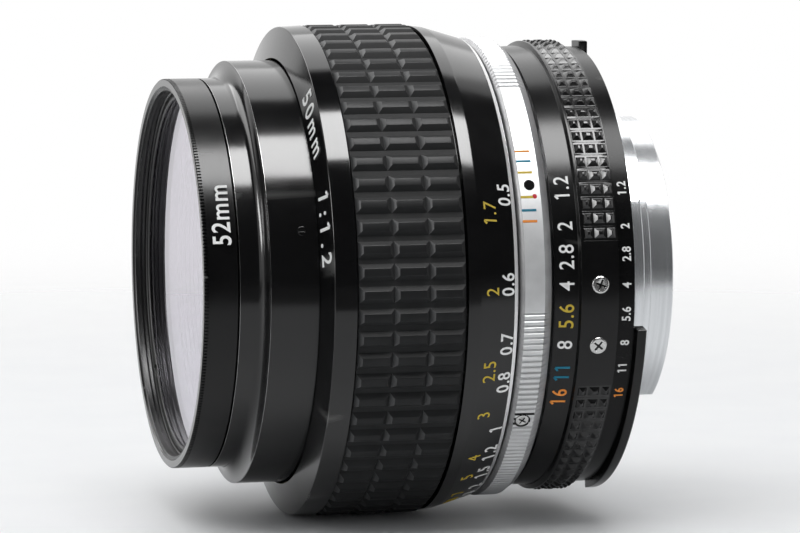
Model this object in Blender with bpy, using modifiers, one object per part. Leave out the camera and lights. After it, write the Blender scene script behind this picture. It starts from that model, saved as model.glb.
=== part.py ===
"""A fast manual-focus prime lens for a single-lens reflex camera, with a screw-in filter.

The lens lies on its side on the rubber of its focus ring, set to its closest focus and to full
aperture. Everything is modelled in the lens's own frame, which an empty lays down on its side:
z runs forward along the optical axis from the flange seat, and angles start at the side that
faces the viewer and grow upwards. Sizes are in millimetres and become metres with MM.
"""

import math

import bmesh
import bpy
from mathutils import Matrix, Vector

MM = 0.001

# Clearances: between pieces, in a cemented pair, and between blades
GAP = 0.3
CEMENT = 0.1
LEAF = 0.1

# Facets round a turned piece: outside, inside the barrel, and in glass
OUTER_FACETS = 32
INNER_FACETS = 24
GLASS_FACETS = 16

# Movements
FOCUS_TRAVEL = 6.83
APERTURE_TURN = 55.0
LEVER_TURN = 14.0
BLADE_SWING = 37.5

# Lens elements from the front: thickness, front and rear radius of curvature, half diameter in
# front and behind, and the air that follows. A positive radius has its centre behind the surface.
ELEMENTS = (
    dict(thick=6.6, front=42.0, rear=160.0, half=21.8, rear_half=21.8, air=0.4),
    dict(thick=6.8, front=28.0, rear=70.0, half=18.8, rear_half=18.8, air=0.9),
    dict(thick=2.0, front=85.0, rear=19.8, half=17.8, rear_half=14.8, air=0.0),
    dict(thick=1.5, front=-20.5, rear=120.0, half=14.2, rear_half=14.2, air=CEMENT),
    dict(thick=6.6, front=120.0, rear=-30.0, half=15.0, rear_half=15.0, air=0.35),
    dict(thick=4.0, front=-110.0, rear=-36.0, half=16.2, rear_half=16.2, air=0.35),
    dict(thick=3.6, front=95.0, rear=-140.0, half=16.4, rear_half=16.4, air=0.0),
)
BEFORE_IRIS = 3
ARC_STEPS = 3
ELEMENT_RECESS = 2.83
SEAT_LIP = 0.6
SEAT_OVERLAP = 0.7
RETAINER_WIDTH = 0.9
RETAINER_LENGTH = 1.0
REAR_RETAINER_LENGTH = 0.4
REAR_CELL_WALL = 1.0
REAR_FLANGE = 2.0

# Walls of the nested barrels, from the front glass outwards
CELL_WALL = 3.5
CARRIER_WALL = 1.3
SLEEVE_WALL = 0.8
BARREL_WALL = 0.77
HELICOID_WALL = 1.63
FOCUS_WALL = 1.15
RUBBER_BASE = 0.5
PAD_HEIGHT = 0.7
BAND_LIP = 1.4
NAME_EDGE_DROP = 0.17
BEARING_STEP = 2.3
SKIRT_WALL = 1.1
SKIRT_FALL = 0.2
SEAT_STEP = 1.3
INDEX_WALL = 2.3
REAR_STEP = 0.3
REAR_WALL = 4.0
APERTURE_WALL = 2.05
APERTURE_TAPER = 0.15
KNURL_HEIGHT = 0.87

# Lengths along the axis, from the flange seat forwards
APERTURE_BACK = 0.52
REAR_BAND = 2.48
KNURL_STEP = 0.42
KNURL_LENGTH = 4.61
NUMBER_BAND = 3.75
INDEX_LENGTH = 4.5
INDEX_CHAMFER = 1.15
SKIRT_CONE = 5.65
SKIRT_FLAT = 1.7
RUBBER_LENGTH = 14.71
GLOSS_BAND = 3.07
NAME_BEVEL = 1.02
SHOULDER = 1.52
RIM_LENGTH = 2.18
FILTER_LENGTH = 4.58
BEARING_REACH = 3.1
SLEEVE_FLOOR = 7.0

# Grip and knurl patterns, with the smooth patch that the ring's two screws sit in
PAD_ROWS = 70
PAD_COLUMNS = 3
PAD_SLOPE = 0.75
KNURL_ROWS = 108
KNURL_COLUMNS = 3
PATCH_START = -23.3
PATCH_END = 13.3

# Front barrel and filter
RIM_STEP = 2.37
RIM_WALL = 1.0
THREAD_DEPTH = 3.3
CONE_DEPTH = 3.1
CONE_LEDGE = 0.8
FRONT_WALL = 3.0
FILTER_THREAD = 2.7
FILTER_WALL = 1.8
FILTER_LIP = 1.1
FILTER_GLASS = 2.0
FILTER_RECESS = 2.35
FILTER_RETAINER = 0.4

# Iris
BLADES = 9
BLADE_WIDTH = 4.5
BLADE_SPAN = 102.0
BLADE_STEP = 18.0
BLADE_THICK = 0.15
PIVOT_OUT = 1.4
PIVOT_INSET = 2.7
LOBE_RADIUS = 1.2
PIN_RADIUS = 0.45
PIN_SIDES = 6
DRIVE_ARM = 3.0
PLATE_THICK = 0.7
HOUSING_WALL = 0.7

# Stop-down lever, its fork and the baffle behind it
LEVER_ANGLE = 116.0
LEVER_WIDTH = 3.2
LEVER_THICK = 0.9
LEVER_CLEARANCE = 0.8
LEVER_REACH = 2.2
LEVER_RING_WALL = 1.6
LEVER_RING_THICK = 1.4
TAB_ANGLE = 250.0
TAB_WIDTH = 2.4
PRONG_WIDTH = 1.2
PRONG_OVERLAP = 2.8
BAFFLE_THICK = 0.6

# Bayonet
FLANGE_THICK = 1.3
TAIL_WALL = 1.0
TAIL_LENGTH = 3.5
TAIL_NOTCH_START = 228.0
TAIL_NOTCH_SWEEP = 74.0
THROAT_STEP = 1.2
THROAT_LENGTH = 4.45
LUG_STEP = 1.6
LUG_START = 1.45
LUG_THICK = 1.6
LUG_SWEEP = 58.0
LUG_ANGLES = (-1.0, 119.0, 239.0)
LOCK_ANGLE = -64.0
LOCK_WIDTH = 3.0
LOCK_DEPTH = 2.6

# Ridge and post behind the aperture ring, and the key inside it
RIDGE_HEIGHT = 0.75
RIDGE_WALL = 1.5
RIDGE_LENGTH = 1.35
RIDGE_START = -81.0
RIDGE_SWEEP = 70.0
POST_ANGLE = 87.0
POST_SWEEP = 9.0
KEY_ANGLE = 150.0
KEY_WIDTH = 4.0
KEY_LENGTH = 1.4

# Guide keys that keep the lens unit from turning
GUIDE_ANGLES = (80.0, 260.0)
GUIDE_WIDTH = 3.0
GUIDE_LENGTH = 8.0

# Radii that follow
cell_outer = ELEMENTS[0]["half"] + GAP + CELL_WALL
carrier_bore = cell_outer + GAP
carrier_outer = carrier_bore + CARRIER_WALL
sleeve_bore = carrier_outer + GAP
sleeve_outer = sleeve_bore + SLEEVE_WALL
barrel_bore = sleeve_outer + GAP
barrel_outer = barrel_bore + BARREL_WALL
helicoid_bore = barrel_outer + GAP
helicoid_outer = helicoid_bore + HELICOID_WALL
focus_bore = helicoid_outer + GAP
rubber_seat = focus_bore + FOCUS_WALL
rubber_bore = rubber_seat + GAP
rubber_valley = rubber_bore + RUBBER_BASE
band_outer = rubber_seat + BAND_LIP
bearing_outer = sleeve_outer + BEARING_STEP
skirt_bore = bearing_outer + GAP
index_seat = sleeve_outer + SEAT_STEP
index_bore = index_seat + GAP
index_outer = index_bore + INDEX_WALL
rear_outer = sleeve_outer + REAR_STEP
rear_bore = rear_outer - REAR_WALL
aperture_bore = rear_outer + GAP
aperture_outer = aperture_bore + APERTURE_WALL
rim_outer = barrel_outer - RIM_STEP
thread_bore = rim_outer - RIM_WALL
rear_cell_outer = max(element["half"] for element in ELEMENTS[BEFORE_IRIS:]) + GAP + REAR_CELL_WALL
lever_inner = rear_cell_outer + LEVER_CLEARANCE
lever_outer = lever_inner + LEVER_THICK
tail_bore = lever_outer + GAP
tail_outer = tail_bore + TAIL_WALL
throat_outer = tail_outer + THROAT_STEP
lug_outer = throat_outer + LUG_STEP
flange_outer = rear_outer - GAP
lever_ring_outer = rear_bore - GAP
lever_ring_bore = lever_ring_outer - LEVER_RING_WALL
tab_inner = lever_ring_bore + GAP
tab_outer = lever_ring_outer - GAP
housing_bore = cell_outer - HOUSING_WALL
drive_outer = housing_bore - GAP
pivot_radius = drive_outer - PIVOT_INSET - LOBE_RADIUS + GAP
blade_outer = pivot_radius - PIVOT_OUT
blade_inner = blade_outer - BLADE_WIDTH

# Places along the axis that follow
knurl_back = APERTURE_BACK + REAR_BAND + KNURL_STEP
knurl_front = knurl_back + KNURL_LENGTH
aperture_front = knurl_front + NUMBER_BAND
index_back = aperture_front + 2 * GAP
index_front = index_back + INDEX_LENGTH
skirt_back = index_front + GAP
skirt_step = skirt_back + SKIRT_CONE
skirt_front = skirt_step + SKIRT_FLAT
rubber_back = skirt_front + GAP
rubber_front = rubber_back + RUBBER_LENGTH
band_back = rubber_front + GAP
band_front = band_back + GLOSS_BAND
lip_front = band_front + NAME_BEVEL
barrel_front = lip_front + FOCUS_TRAVEL - GAP / 2
rim_back = barrel_front + SHOULDER
rim_front = rim_back + RIM_LENGTH
filter_back = rim_front + GAP
filter_front = filter_back + FILTER_LENGTH
thread_floor = rim_front - THREAD_DEPTH
cone_back = thread_floor - CONE_DEPTH
wall_back = cone_back - FRONT_WALL
bearing_front = skirt_back + BEARING_REACH
barrel_back = bearing_front + FOCUS_TRAVEL + GAP
sleeve_front = wall_back - FOCUS_TRAVEL - GAP
carrier_back = SLEEVE_FLOOR + FOCUS_TRAVEL + GAP
helicoid_back = bearing_front + 2 * GAP + FOCUS_WALL
helicoid_front = band_front - FOCUS_WALL - GAP
fixed_back = FLANGE_THICK + GAP
baffle_front = fixed_back + BAFFLE_THICK
lever_back = baffle_front + GAP
lever_front = lever_back + LEVER_RING_THICK
key_back = lever_front + GAP
key_front = key_back + KEY_LENGTH
tail_back = -THROAT_LENGTH - TAIL_LENGTH


def sag(radius, height):
    """How far a spherical surface falls back at this height from the axis."""
    depth = abs(radius) - math.sqrt(radius * radius - height * height)
    return math.copysign(depth, radius)


def stacked(elements, vertex):
    """The front vertex of each element in a row that starts with its vertex here."""
    places = []
    for element in elements:
        places.append(vertex)
        vertex -= element["thick"] + element["air"]
    return places


def front_rim(element, vertex):
    return vertex - sag(element["front"], element["half"])


def back_rim(element, vertex):
    return vertex - element["thick"] - sag(element["rear"], element["rear_half"])


front_group = ELEMENTS[:BEFORE_IRIS]
rear_group = ELEMENTS[BEFORE_IRIS:]
front_places = stacked(front_group, rim_front - ELEMENT_RECESS)
front_cell_back = back_rim(front_group[-1], front_places[-1]) - GAP - SEAT_LIP
plate_front = front_cell_back - GAP
plate_back = plate_front - PLATE_THICK
blades_front = plate_back - GAP
blade_pitch = BLADE_THICK + LEAF
drive_front = blades_front - BLADES * blade_pitch - GAP
drive_back = drive_front - PLATE_THICK
cover_front = drive_back - GAP
cover_back = cover_front - PLATE_THICK
rear_cell_front = cover_back - GAP
rear_rim = rear_cell_front - SEAT_LIP - GAP
rear_places = stacked(rear_group, rear_rim + sag(rear_group[0]["front"], rear_group[0]["half"]))
rear_cell_back = back_rim(rear_group[-1], rear_places[-1]) - GAP - REAR_RETAINER_LENGTH
tab_back = lever_front + FOCUS_TRAVEL + GAP
prong_front = tab_back + PRONG_OVERLAP

for old in list(bpy.data.objects):
    bpy.data.objects.remove(old)

lens = bpy.data.collections.new("prime_camera_lens")
bpy.context.scene.collection.children.link(lens)
cutters = bpy.data.collections.new("cutters")
cutters.hide_render = True
bpy.context.scene.collection.children.link(cutters)

axis = bpy.data.objects.new("optical_axis", None)
axis.matrix_world = Matrix(((0, 0, -1, 0), (-1, 0, 0, 0), (0, 1, 0, 0), (0, 0, 0, 1)))
lens.objects.link(axis)


def finish(name, colour, roughness, metallic=0.0, transmission=0.0):
    material = bpy.data.materials.new(name)
    material.use_nodes = True
    shader = material.node_tree.nodes["Principled BSDF"]
    shader.inputs["Base Color"].default_value = (*colour, 1.0)
    shader.inputs["Roughness"].default_value = roughness
    shader.inputs["Metallic"].default_value = metallic
    shader.inputs["Transmission Weight"].default_value = transmission
    material.diffuse_color = (*colour, 1.0)
    return material


BLACK = finish("black_enamel", (0.012, 0.012, 0.013), 0.25, 0.3)
MATT_BLACK = finish("matt_black", (0.02, 0.02, 0.021), 0.6)
RUBBER = finish("grip_rubber", (0.025, 0.026, 0.028), 0.55)
SATIN = finish("satin_silver", (0.72, 0.72, 0.72), 0.35, 1.0)
CHROME = finish("bright_chrome", (0.8, 0.81, 0.82), 0.15, 1.0)
BRASS = finish("bare_brass", (0.72, 0.56, 0.3), 0.35, 1.0)
ALLOY = finish("grey_alloy", (0.5, 0.5, 0.5), 0.45, 1.0)
STEEL = finish("plain_steel", (0.6, 0.6, 0.6), 0.3, 1.0)
BLADE_STEEL = finish("blued_steel", (0.05, 0.05, 0.055), 0.4, 0.8)
OPTICAL = finish("coated_glass", (0.9, 0.88, 0.95), 0.02, 0.0, 1.0)


def polar(radius, angle):
    return radius * math.cos(math.radians(angle)), radius * math.sin(math.radians(angle))


def metres(radius, height, angle=0.0):
    return Vector((*polar(radius, angle), height)) * MM


def as_object(name, bm, material):
    """A mesh as a piece of the lens or, where it has no material, as a hidden helper of one."""
    mesh = bpy.data.meshes.new(name)
    bm.to_mesh(mesh)
    bm.free()
    piece = bpy.data.objects.new(name, mesh)
    piece.parent = axis
    if material:
        lens.objects.link(piece)
        mesh.materials.append(material)
    else:
        cutters.objects.link(piece)
        piece.hide_render = True
        piece.display_type = "WIRE"
    return piece


def turned(name, outline, material, facets=INNER_FACETS):
    """A turned piece. Its outline of (radius, z) runs back along the outside and forward inside."""
    bm = bmesh.new()
    corners = [bm.verts.new(metres(radius, height)) for radius, height in outline]
    ends = corners[1:] if outline[0][0] == 0 else corners[1:] + corners[:1]
    for start, end in zip(corners, ends):
        bm.edges.new((start, end))
    piece = as_object(name, bm, material)
    spin = piece.modifiers.new("turn", "SCREW")
    spin.steps = spin.render_steps = facets
    spin.use_merge_vertices = True
    spin.merge_threshold = 0.01 * MM
    return piece


def washer(inner, outer, front, back):
    return [(outer, front), (outer, back), (inner, back), (inner, front)]


def swept(name, outline, start, sweep, steps):
    """A helper that carries an outline of (radius, z) part of the way round the axis."""
    bm = bmesh.new()
    corners = [bm.verts.new(metres(radius, height, start)) for radius, height in outline]
    edges = [bm.edges.new(ends) for ends in zip(corners, corners[1:] + corners[:1])]
    bmesh.ops.spin(bm, geom=corners + edges, axis=(0, 0, 1), angle=math.radians(sweep), steps=steps)
    bmesh.ops.holes_fill(bm, edges=[edge for edge in bm.edges if edge.is_boundary], sides=0)
    bmesh.ops.recalc_face_normals(bm, faces=bm.faces)
    return as_object(name, bm, None)


def block(name, width, limits, angle, material=None):
    """A box of this width across the radius, between the inner, outer, back and front limits."""
    inner, outer, back, front = limits
    bm = bmesh.new()
    bmesh.ops.create_cube(bm, size=MM)
    bmesh.ops.scale(bm, verts=bm.verts, vec=(outer - inner, width, front - back))
    piece = as_object(name, bm, material)
    centre = Matrix.Translation(metres((inner + outer) / 2, (back + front) / 2, angle))
    piece.matrix_local = centre @ Matrix.Rotation(math.radians(angle), 4, "Z")
    return piece


def combine(piece, helper, operation="DIFFERENCE"):
    step = piece.modifiers.new(helper.name, "BOOLEAN")
    step.operation = operation
    step.object = helper


def flat_plate(name, outlines, back, front, material):
    """A flat plate cut to closed outlines, the first outside and the rest holes."""
    curve = bpy.data.curves.new(name, "CURVE")
    curve.dimensions = "2D"
    curve.fill_mode = "BOTH"
    curve.extrude = (front - back) / 2 * MM
    for points in outlines:
        spline = curve.splines.new("POLY")
        spline.points.add(len(points) - 1)
        for corner, (x, y) in zip(spline.points, points):
            corner.co = (x * MM, y * MM, 0, 1)
        spline.use_cyclic_u = True
    drawing = bpy.data.objects.new(name + "_drawing", curve)
    cutters.objects.link(drawing)
    graph = bpy.context.evaluated_depsgraph_get()
    mesh = bpy.data.meshes.new_from_object(drawing.evaluated_get(graph))
    bpy.data.objects.remove(drawing)
    bm = bmesh.new()
    bm.from_mesh(mesh)
    bpy.data.meshes.remove(mesh)
    bmesh.ops.remove_doubles(bm, verts=bm.verts, dist=0.001 * MM)
    bmesh.ops.translate(bm, verts=bm.verts, vec=(0, 0, (front + back) / 2 * MM))
    bmesh.ops.recalc_face_normals(bm, faces=bm.faces)
    return as_object(name, bm, material)


def ring_points(radius, sides, centre=(0.0, 0.0)):
    corners = [polar(radius, 360 * side / sides) for side in range(sides)]
    return [(centre[0] + x, centre[1] + y) for x, y in corners]


def cell_band(radius, back, front, rows, columns):
    """An open round band of flat cells, with a cell centred on the side that faces the viewer."""
    bm = bmesh.new()
    middle = Matrix.Translation((0, 0, (front + back) / 2 * MM))
    bmesh.ops.create_cone(
        bm,
        cap_ends=False,
        segments=rows,
        radius1=radius * MM,
        radius2=radius * MM,
        depth=(front - back) * MM,
        matrix=middle @ Matrix.Rotation(math.pi / rows, 4, "Z"),
    )
    lengthwise = [edge for edge in bm.edges if not edge.is_boundary]
    bmesh.ops.subdivide_edges(bm, edges=lengthwise, cuts=columns - 1)
    bmesh.ops.recalc_face_normals(bm, faces=bm.faces)
    return bm


def open_end(bm, height):
    """The open edges of a band at this height."""
    level = height * MM
    edges = [edge for edge in bm.edges if edge.is_boundary]
    return [edge for edge in edges if all(abs(corner.co.z - level) < GAP * MM for corner in edge.verts)]


def drawn(bm, edges, radius, height):
    """Draws an open loop of edges on to a circle of this radius at this height."""
    grown = bmesh.ops.extrude_edge_only(bm, edges=edges)["geom"]
    for corner in [item for item in grown if isinstance(item, bmesh.types.BMVert)]:
        corner.co.xy = corner.co.xy.normalized() * radius * MM
        corner.co.z = height * MM
    return [item for item in grown if isinstance(item, bmesh.types.BMEdge)]


def halved(bm, edges, height):
    """Joins the corners of an open loop in pairs, to carry on with half as many facets."""
    corners = {corner for edge in edges for corner in edge.verts}
    corners = sorted(corners, key=lambda corner: math.atan2(corner.co.y, corner.co.x))
    bmesh.ops.weld_verts(bm, targetmap=dict(zip(corners[1::2], corners[::2])))
    return open_end(bm, height)


def close_band(bm, back, front):
    """Closes a band into a ring. Each end has its height and the (radius, z) stations to follow."""
    loops = []
    for start, *stations in (back, front):
        loop = open_end(bm, start)
        radius, height = stations.pop(0)
        loop = halved(bm, drawn(bm, loop, radius, height), height)
        for radius, height in stations:
            loop = drawn(bm, loop, radius, height)
        loops += loop
    bmesh.ops.bridge_loops(bm, edges=loops)
    bmesh.ops.recalc_face_normals(bm, faces=bm.faces)


def make_filter():
    bore = rim_outer - FILTER_WALL
    thread = thread_bore - GAP
    thread_back = rim_front - FILTER_THREAD
    glass_front = filter_front - FILTER_RECESS
    glass_back = glass_front - FILTER_GLASS
    ring_back = glass_front + GAP
    outline = [
        (rim_outer, filter_front),
        (rim_outer, filter_back),
        (thread, filter_back),
        (thread, thread_back),
        (bore - FILTER_LIP, thread_back),
        (bore - FILTER_LIP, glass_back - GAP),
        (bore, glass_back - GAP),
        (bore, filter_front),
    ]
    turned("filter_ring", outline, BLACK, OUTER_FACETS)
    disc = bore - GAP
    outline = [(0, glass_front), (disc, glass_front), (disc, glass_back), (0, glass_back)]
    turned("filter_glass", outline, OPTICAL, OUTER_FACETS)
    outline = washer(disc - FILTER_LIP, disc, ring_back + FILTER_RETAINER, ring_back)
    turned("filter_retainer", outline, BLACK, OUTER_FACETS)


def make_front_barrel():
    outline = [(rim_outer, rim_front)]
    for step in range(ARC_STEPS + 1):
        along, across = polar(1, 90 * step / ARC_STEPS)
        outline.append((barrel_outer - RIM_STEP * along, rim_back - SHOULDER * across))
    outline += [
        (barrel_outer, barrel_back),
        (barrel_bore, barrel_back),
        (barrel_bore, wall_back),
        (carrier_bore, wall_back),
        (carrier_bore, cone_back),
        (ELEMENTS[0]["half"] + CONE_LEDGE, cone_back),
        (thread_bore - CONE_LEDGE, thread_floor),
        (thread_bore, thread_floor),
        (thread_bore, rim_front),
    ]
    turned("front_barrel", outline, BLACK, OUTER_FACETS)


def make_focus_ring():
    outline = [
        (helicoid_bore, lip_front),
        (band_outer - NAME_EDGE_DROP, band_front),
        (band_outer, band_back),
        (rubber_seat, band_back),
        (rubber_seat, skirt_front),
        (band_outer - SKIRT_FALL, skirt_front),
        (band_outer - 2 * SKIRT_FALL, skirt_step),
        (skirt_bore + SKIRT_WALL, skirt_back),
        (skirt_bore, skirt_back),
        (skirt_bore, bearing_front + GAP),
        (focus_bore, bearing_front + GAP + FOCUS_WALL),
        (focus_bore, helicoid_front + GAP),
        (helicoid_bore, helicoid_front + GAP),
    ]
    turned("focus_ring", outline, BLACK, OUTER_FACETS)
    outline = washer(helicoid_bore, helicoid_outer, helicoid_front, helicoid_back)
    turned("focus_helicoid", outline, BRASS, OUTER_FACETS)


def make_rubber_grip():
    bm = cell_band(rubber_valley, rubber_back, rubber_front, PAD_ROWS, PAD_COLUMNS)
    pads = list(bm.faces)
    bmesh.ops.inset_individual(
        bm, faces=pads, thickness=PAD_SLOPE * MM, depth=PAD_HEIGHT * MM, use_even_offset=True
    )
    back = [rubber_back, (rubber_bore, rubber_back)]
    front = [rubber_front, (rubber_bore, rubber_front)]
    close_band(bm, back, front)
    as_object("rubber_grip", bm, RUBBER)


def make_fixed_barrel():
    outline = [
        (sleeve_outer, sleeve_front),
        (sleeve_outer, bearing_front),
        (bearing_outer, bearing_front),
        (bearing_outer, skirt_back),
        (index_seat, skirt_back),
        (index_seat, aperture_front + GAP),
        (rear_outer, aperture_front + GAP),
        (rear_outer, fixed_back),
        (rear_bore, fixed_back),
        (rear_bore, SLEEVE_FLOOR),
        (sleeve_bore, SLEEVE_FLOOR),
        (sleeve_bore, sleeve_front),
    ]
    piece = turned("fixed_barrel", outline, ALLOY)
    side = math.degrees((KEY_WIDTH / 2 + 2 * GAP) / rear_bore)
    window = washer(rear_bore - REAR_WALL / 2, aperture_outer, key_front + GAP, key_back - GAP)
    reach = APERTURE_TURN + 2 * side
    combine(piece, swept("key_window", window, KEY_ANGLE - side, reach, INNER_FACETS // 4))


def make_index_ring():
    edge = INDEX_CHAMFER / 2
    outline = [
        (index_outer - edge, index_front),
        (index_outer, index_front - edge),
        (index_outer, index_back + INDEX_CHAMFER),
        (index_outer - 2 * edge + GAP, index_back),
        (index_bore, index_back),
        (index_bore, index_front),
    ]
    turned("index_ring", outline, SATIN, OUTER_FACETS)


def make_aperture_ring():
    bm = cell_band(aperture_outer, knurl_back, knurl_front, KNURL_ROWS, KNURL_COLUMNS)
    cells = []
    for cell in bm.faces:
        middle = cell.calc_center_median()
        if not PATCH_START < math.degrees(math.atan2(middle.y, middle.x)) < PATCH_END:
            cells.append(cell)
    bmesh.ops.poke(bm, faces=cells, offset=KNURL_HEIGHT * MM, center_mode="MEAN")
    edge = aperture_outer - APERTURE_TAPER
    back = [knurl_back, (edge, knurl_back - KNURL_STEP), (edge, APERTURE_BACK)]
    front = [knurl_front, (aperture_outer, knurl_front + KNURL_STEP), (edge, aperture_front)]
    close_band(bm, back + [(aperture_bore, APERTURE_BACK)], front + [(aperture_bore, aperture_front)])
    piece = as_object("aperture_ring", bm, BLACK)
    top = aperture_outer + RIDGE_HEIGHT
    foot = top - RIDGE_WALL
    root = (aperture_bore + foot) / 2
    ridge = [
        (top, APERTURE_BACK - GAP),
        (top, APERTURE_BACK - GAP - RIDGE_LENGTH),
        (root, APERTURE_BACK - GAP - RIDGE_LENGTH),
        (root, APERTURE_BACK + RIDGE_LENGTH),
        (foot, APERTURE_BACK + RIDGE_LENGTH),
        (foot, APERTURE_BACK - GAP),
    ]
    combine(piece, swept("meter_ridge", ridge, RIDGE_START, RIDGE_SWEEP, INNER_FACETS // 2), "UNION")
    combine(piece, swept("ring_post", ridge, POST_ANGLE, POST_SWEEP, 2), "UNION")
    limits = (lever_ring_bore, rear_outer, key_back, key_front)
    block("aperture_key", KEY_WIDTH, limits, KEY_ANGLE, STEEL)


def make_carrier():
    outline = washer(carrier_bore, carrier_outer, wall_back - GAP, carrier_back)
    piece = turned("lens_carrier", outline, BRASS)
    key_end = sleeve_front - FOCUS_TRAVEL - 2 * GAP
    for number, angle in enumerate(GUIDE_ANGLES, 1):
        slot = (cell_outer, sleeve_outer, carrier_back - CELL_WALL, sleeve_front)
        combine(piece, block(f"guide_slot_{number}", GUIDE_WIDTH + 2 * GAP, slot, angle))
        limits = (carrier_bore + GAP, carrier_outer - GAP / 2, key_end - GUIDE_LENGTH, key_end)
        block(f"guide_key_{number}", GUIDE_WIDTH, limits, angle, STEEL)


def make_elements():
    places = front_places + rear_places
    for number, (element, vertex) in enumerate(zip(ELEMENTS, places), 1):
        outline = []
        rear = []
        for step in range(ARC_STEPS + 1):
            radius = element["half"] * step / ARC_STEPS
            outline.append((radius, vertex - sag(element["front"], radius)))
            radius = element["rear_half"] * step / ARC_STEPS
            rear.append((radius, vertex - element["thick"] - sag(element["rear"], radius)))
        if element["rear_half"] < element["half"]:
            rear.append((element["half"], rear[-1][1]))
        turned(f"lens_element_{number}", outline + rear[::-1], OPTICAL, GLASS_FACETS)


def make_front_cell():
    front = cone_back - GAP
    outline = [(cell_outer, front), (cell_outer, front_cell_back)]
    bore = front_group[-1]["rear_half"] + GAP
    height = front_cell_back
    for element, vertex in zip(front_group[::-1], front_places[::-1]):
        floor = back_rim(element, vertex) - GAP
        outline += [(bore, height), (bore, floor)]
        bore = element["half"] + GAP
        height = floor
    outline += [(bore, height), (bore, front)]
    turned("front_cell", outline, MATT_BLACK)
    first = front_group[0]
    inner = first["half"] - RETAINER_WIDTH
    back = front_places[0] - sag(first["front"], inner) + GAP
    turned("front_retainer", washer(inner, first["half"], back + RETAINER_LENGTH, back), BLACK)


def make_rear_cell():
    flange_back = rear_cell_front - REAR_FLANGE
    outline = [
        (cell_outer, rear_cell_front),
        (cell_outer, flange_back),
        (rear_cell_outer, flange_back),
        (rear_cell_outer, rear_cell_back),
    ]
    lip = rear_group[0]["half"] - SEAT_OVERLAP
    bore = rear_group[0]["half"] + GAP
    seat = rear_cell_front - SEAT_LIP
    inside = [(lip, rear_cell_front), (lip, seat), (bore, seat)]
    for element, vertex in zip(rear_group[1:], rear_places[1:]):
        wider = element["half"] + GAP
        if wider > bore:
            step = front_rim(element, vertex) + GAP
            inside += [(bore, step), (wider, step)]
            bore = wider
    inside.append((bore, rear_cell_back))
    piece = turned("rear_cell", outline + inside[::-1], MATT_BLACK)
    combine(piece, fork_window("rear_cell_window"))
    half = rear_group[-1]["half"]
    outline = washer(half - RETAINER_WIDTH, half, rear_cell_back + REAR_RETAINER_LENGTH, rear_cell_back)
    turned("rear_retainer", outline, BLACK)


def fork_window(name):
    """A helper that lets the drive ring's tab and the lever's fork through, over their whole turn."""
    side = math.degrees((TAB_WIDTH / 2 + PRONG_WIDTH + 3 * GAP) / tab_inner)
    back = rear_cell_front - 2 * REAR_FLANGE
    window = washer(tab_inner - GAP, tab_outer + GAP, cover_front + GAP / 2, back)
    return swept(name, window, TAB_ANGLE - side, LEVER_TURN + 2 * side, INNER_FACETS // 4)


def drive_pin(share):
    """Where a blade's drive pin lies, seen from the drive ring, at a share of the blade's swing."""
    x, y = polar(DRIVE_ARM, 90 + BLADE_SWING * share)
    x += pivot_radius
    return math.hypot(x, y), math.degrees(math.atan2(y, x)) - LEVER_TURN * share


def cam_slot(angle):
    """The outline of the slot in the drive ring that a drive pin runs in."""
    half = PIN_RADIUS + GAP
    path = [drive_pin(step / ARC_STEPS) for step in range(ARC_STEPS + 1)]
    cap = math.degrees(half / pivot_radius)
    path.insert(0, (path[0][0], path[0][1] + cap))
    path.append((path[-1][0], path[-1][1] - cap))
    outside = [polar(radius + half, turn + angle) for radius, turn in path]
    inside = [polar(radius - half, turn + angle) for radius, turn in path]
    return outside + inside[::-1]


def make_iris():
    angles = [360 * number / BLADES for number in range(BLADES)]
    mouth = ring_points(blade_inner, INNER_FACETS)
    holes = [ring_points(PIN_RADIUS + GAP / 2, PIN_SIDES, polar(pivot_radius, angle)) for angle in angles]
    outlines = [ring_points(cell_outer, INNER_FACETS), mouth] + holes
    flat_plate("iris_plate", outlines, plate_back, plate_front, MATT_BLACK)
    outline = [
        (cell_outer, blades_front),
        (cell_outer, cover_back),
        (blade_inner, cover_back),
        (blade_inner, cover_front),
        (housing_bore, cover_front),
        (housing_bore, blades_front),
    ]
    housing = turned("iris_housing", outline, MATT_BLACK)
    combine(housing, fork_window("housing_window"))
    outlines = [ring_points(drive_outer, INNER_FACETS), mouth] + [cam_slot(angle) for angle in angles]
    ring = flat_plate("iris_drive_ring", outlines, drive_back, drive_front, STEEL)
    limits = (tab_inner, tab_outer, tab_back, (drive_back + drive_front) / 2)
    combine(ring, block("drive_tab", TAB_WIDTH, limits, TAB_ANGLE), "UNION")
    for number, angle in enumerate(angles, 1):
        make_blade(number, angle)


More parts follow.
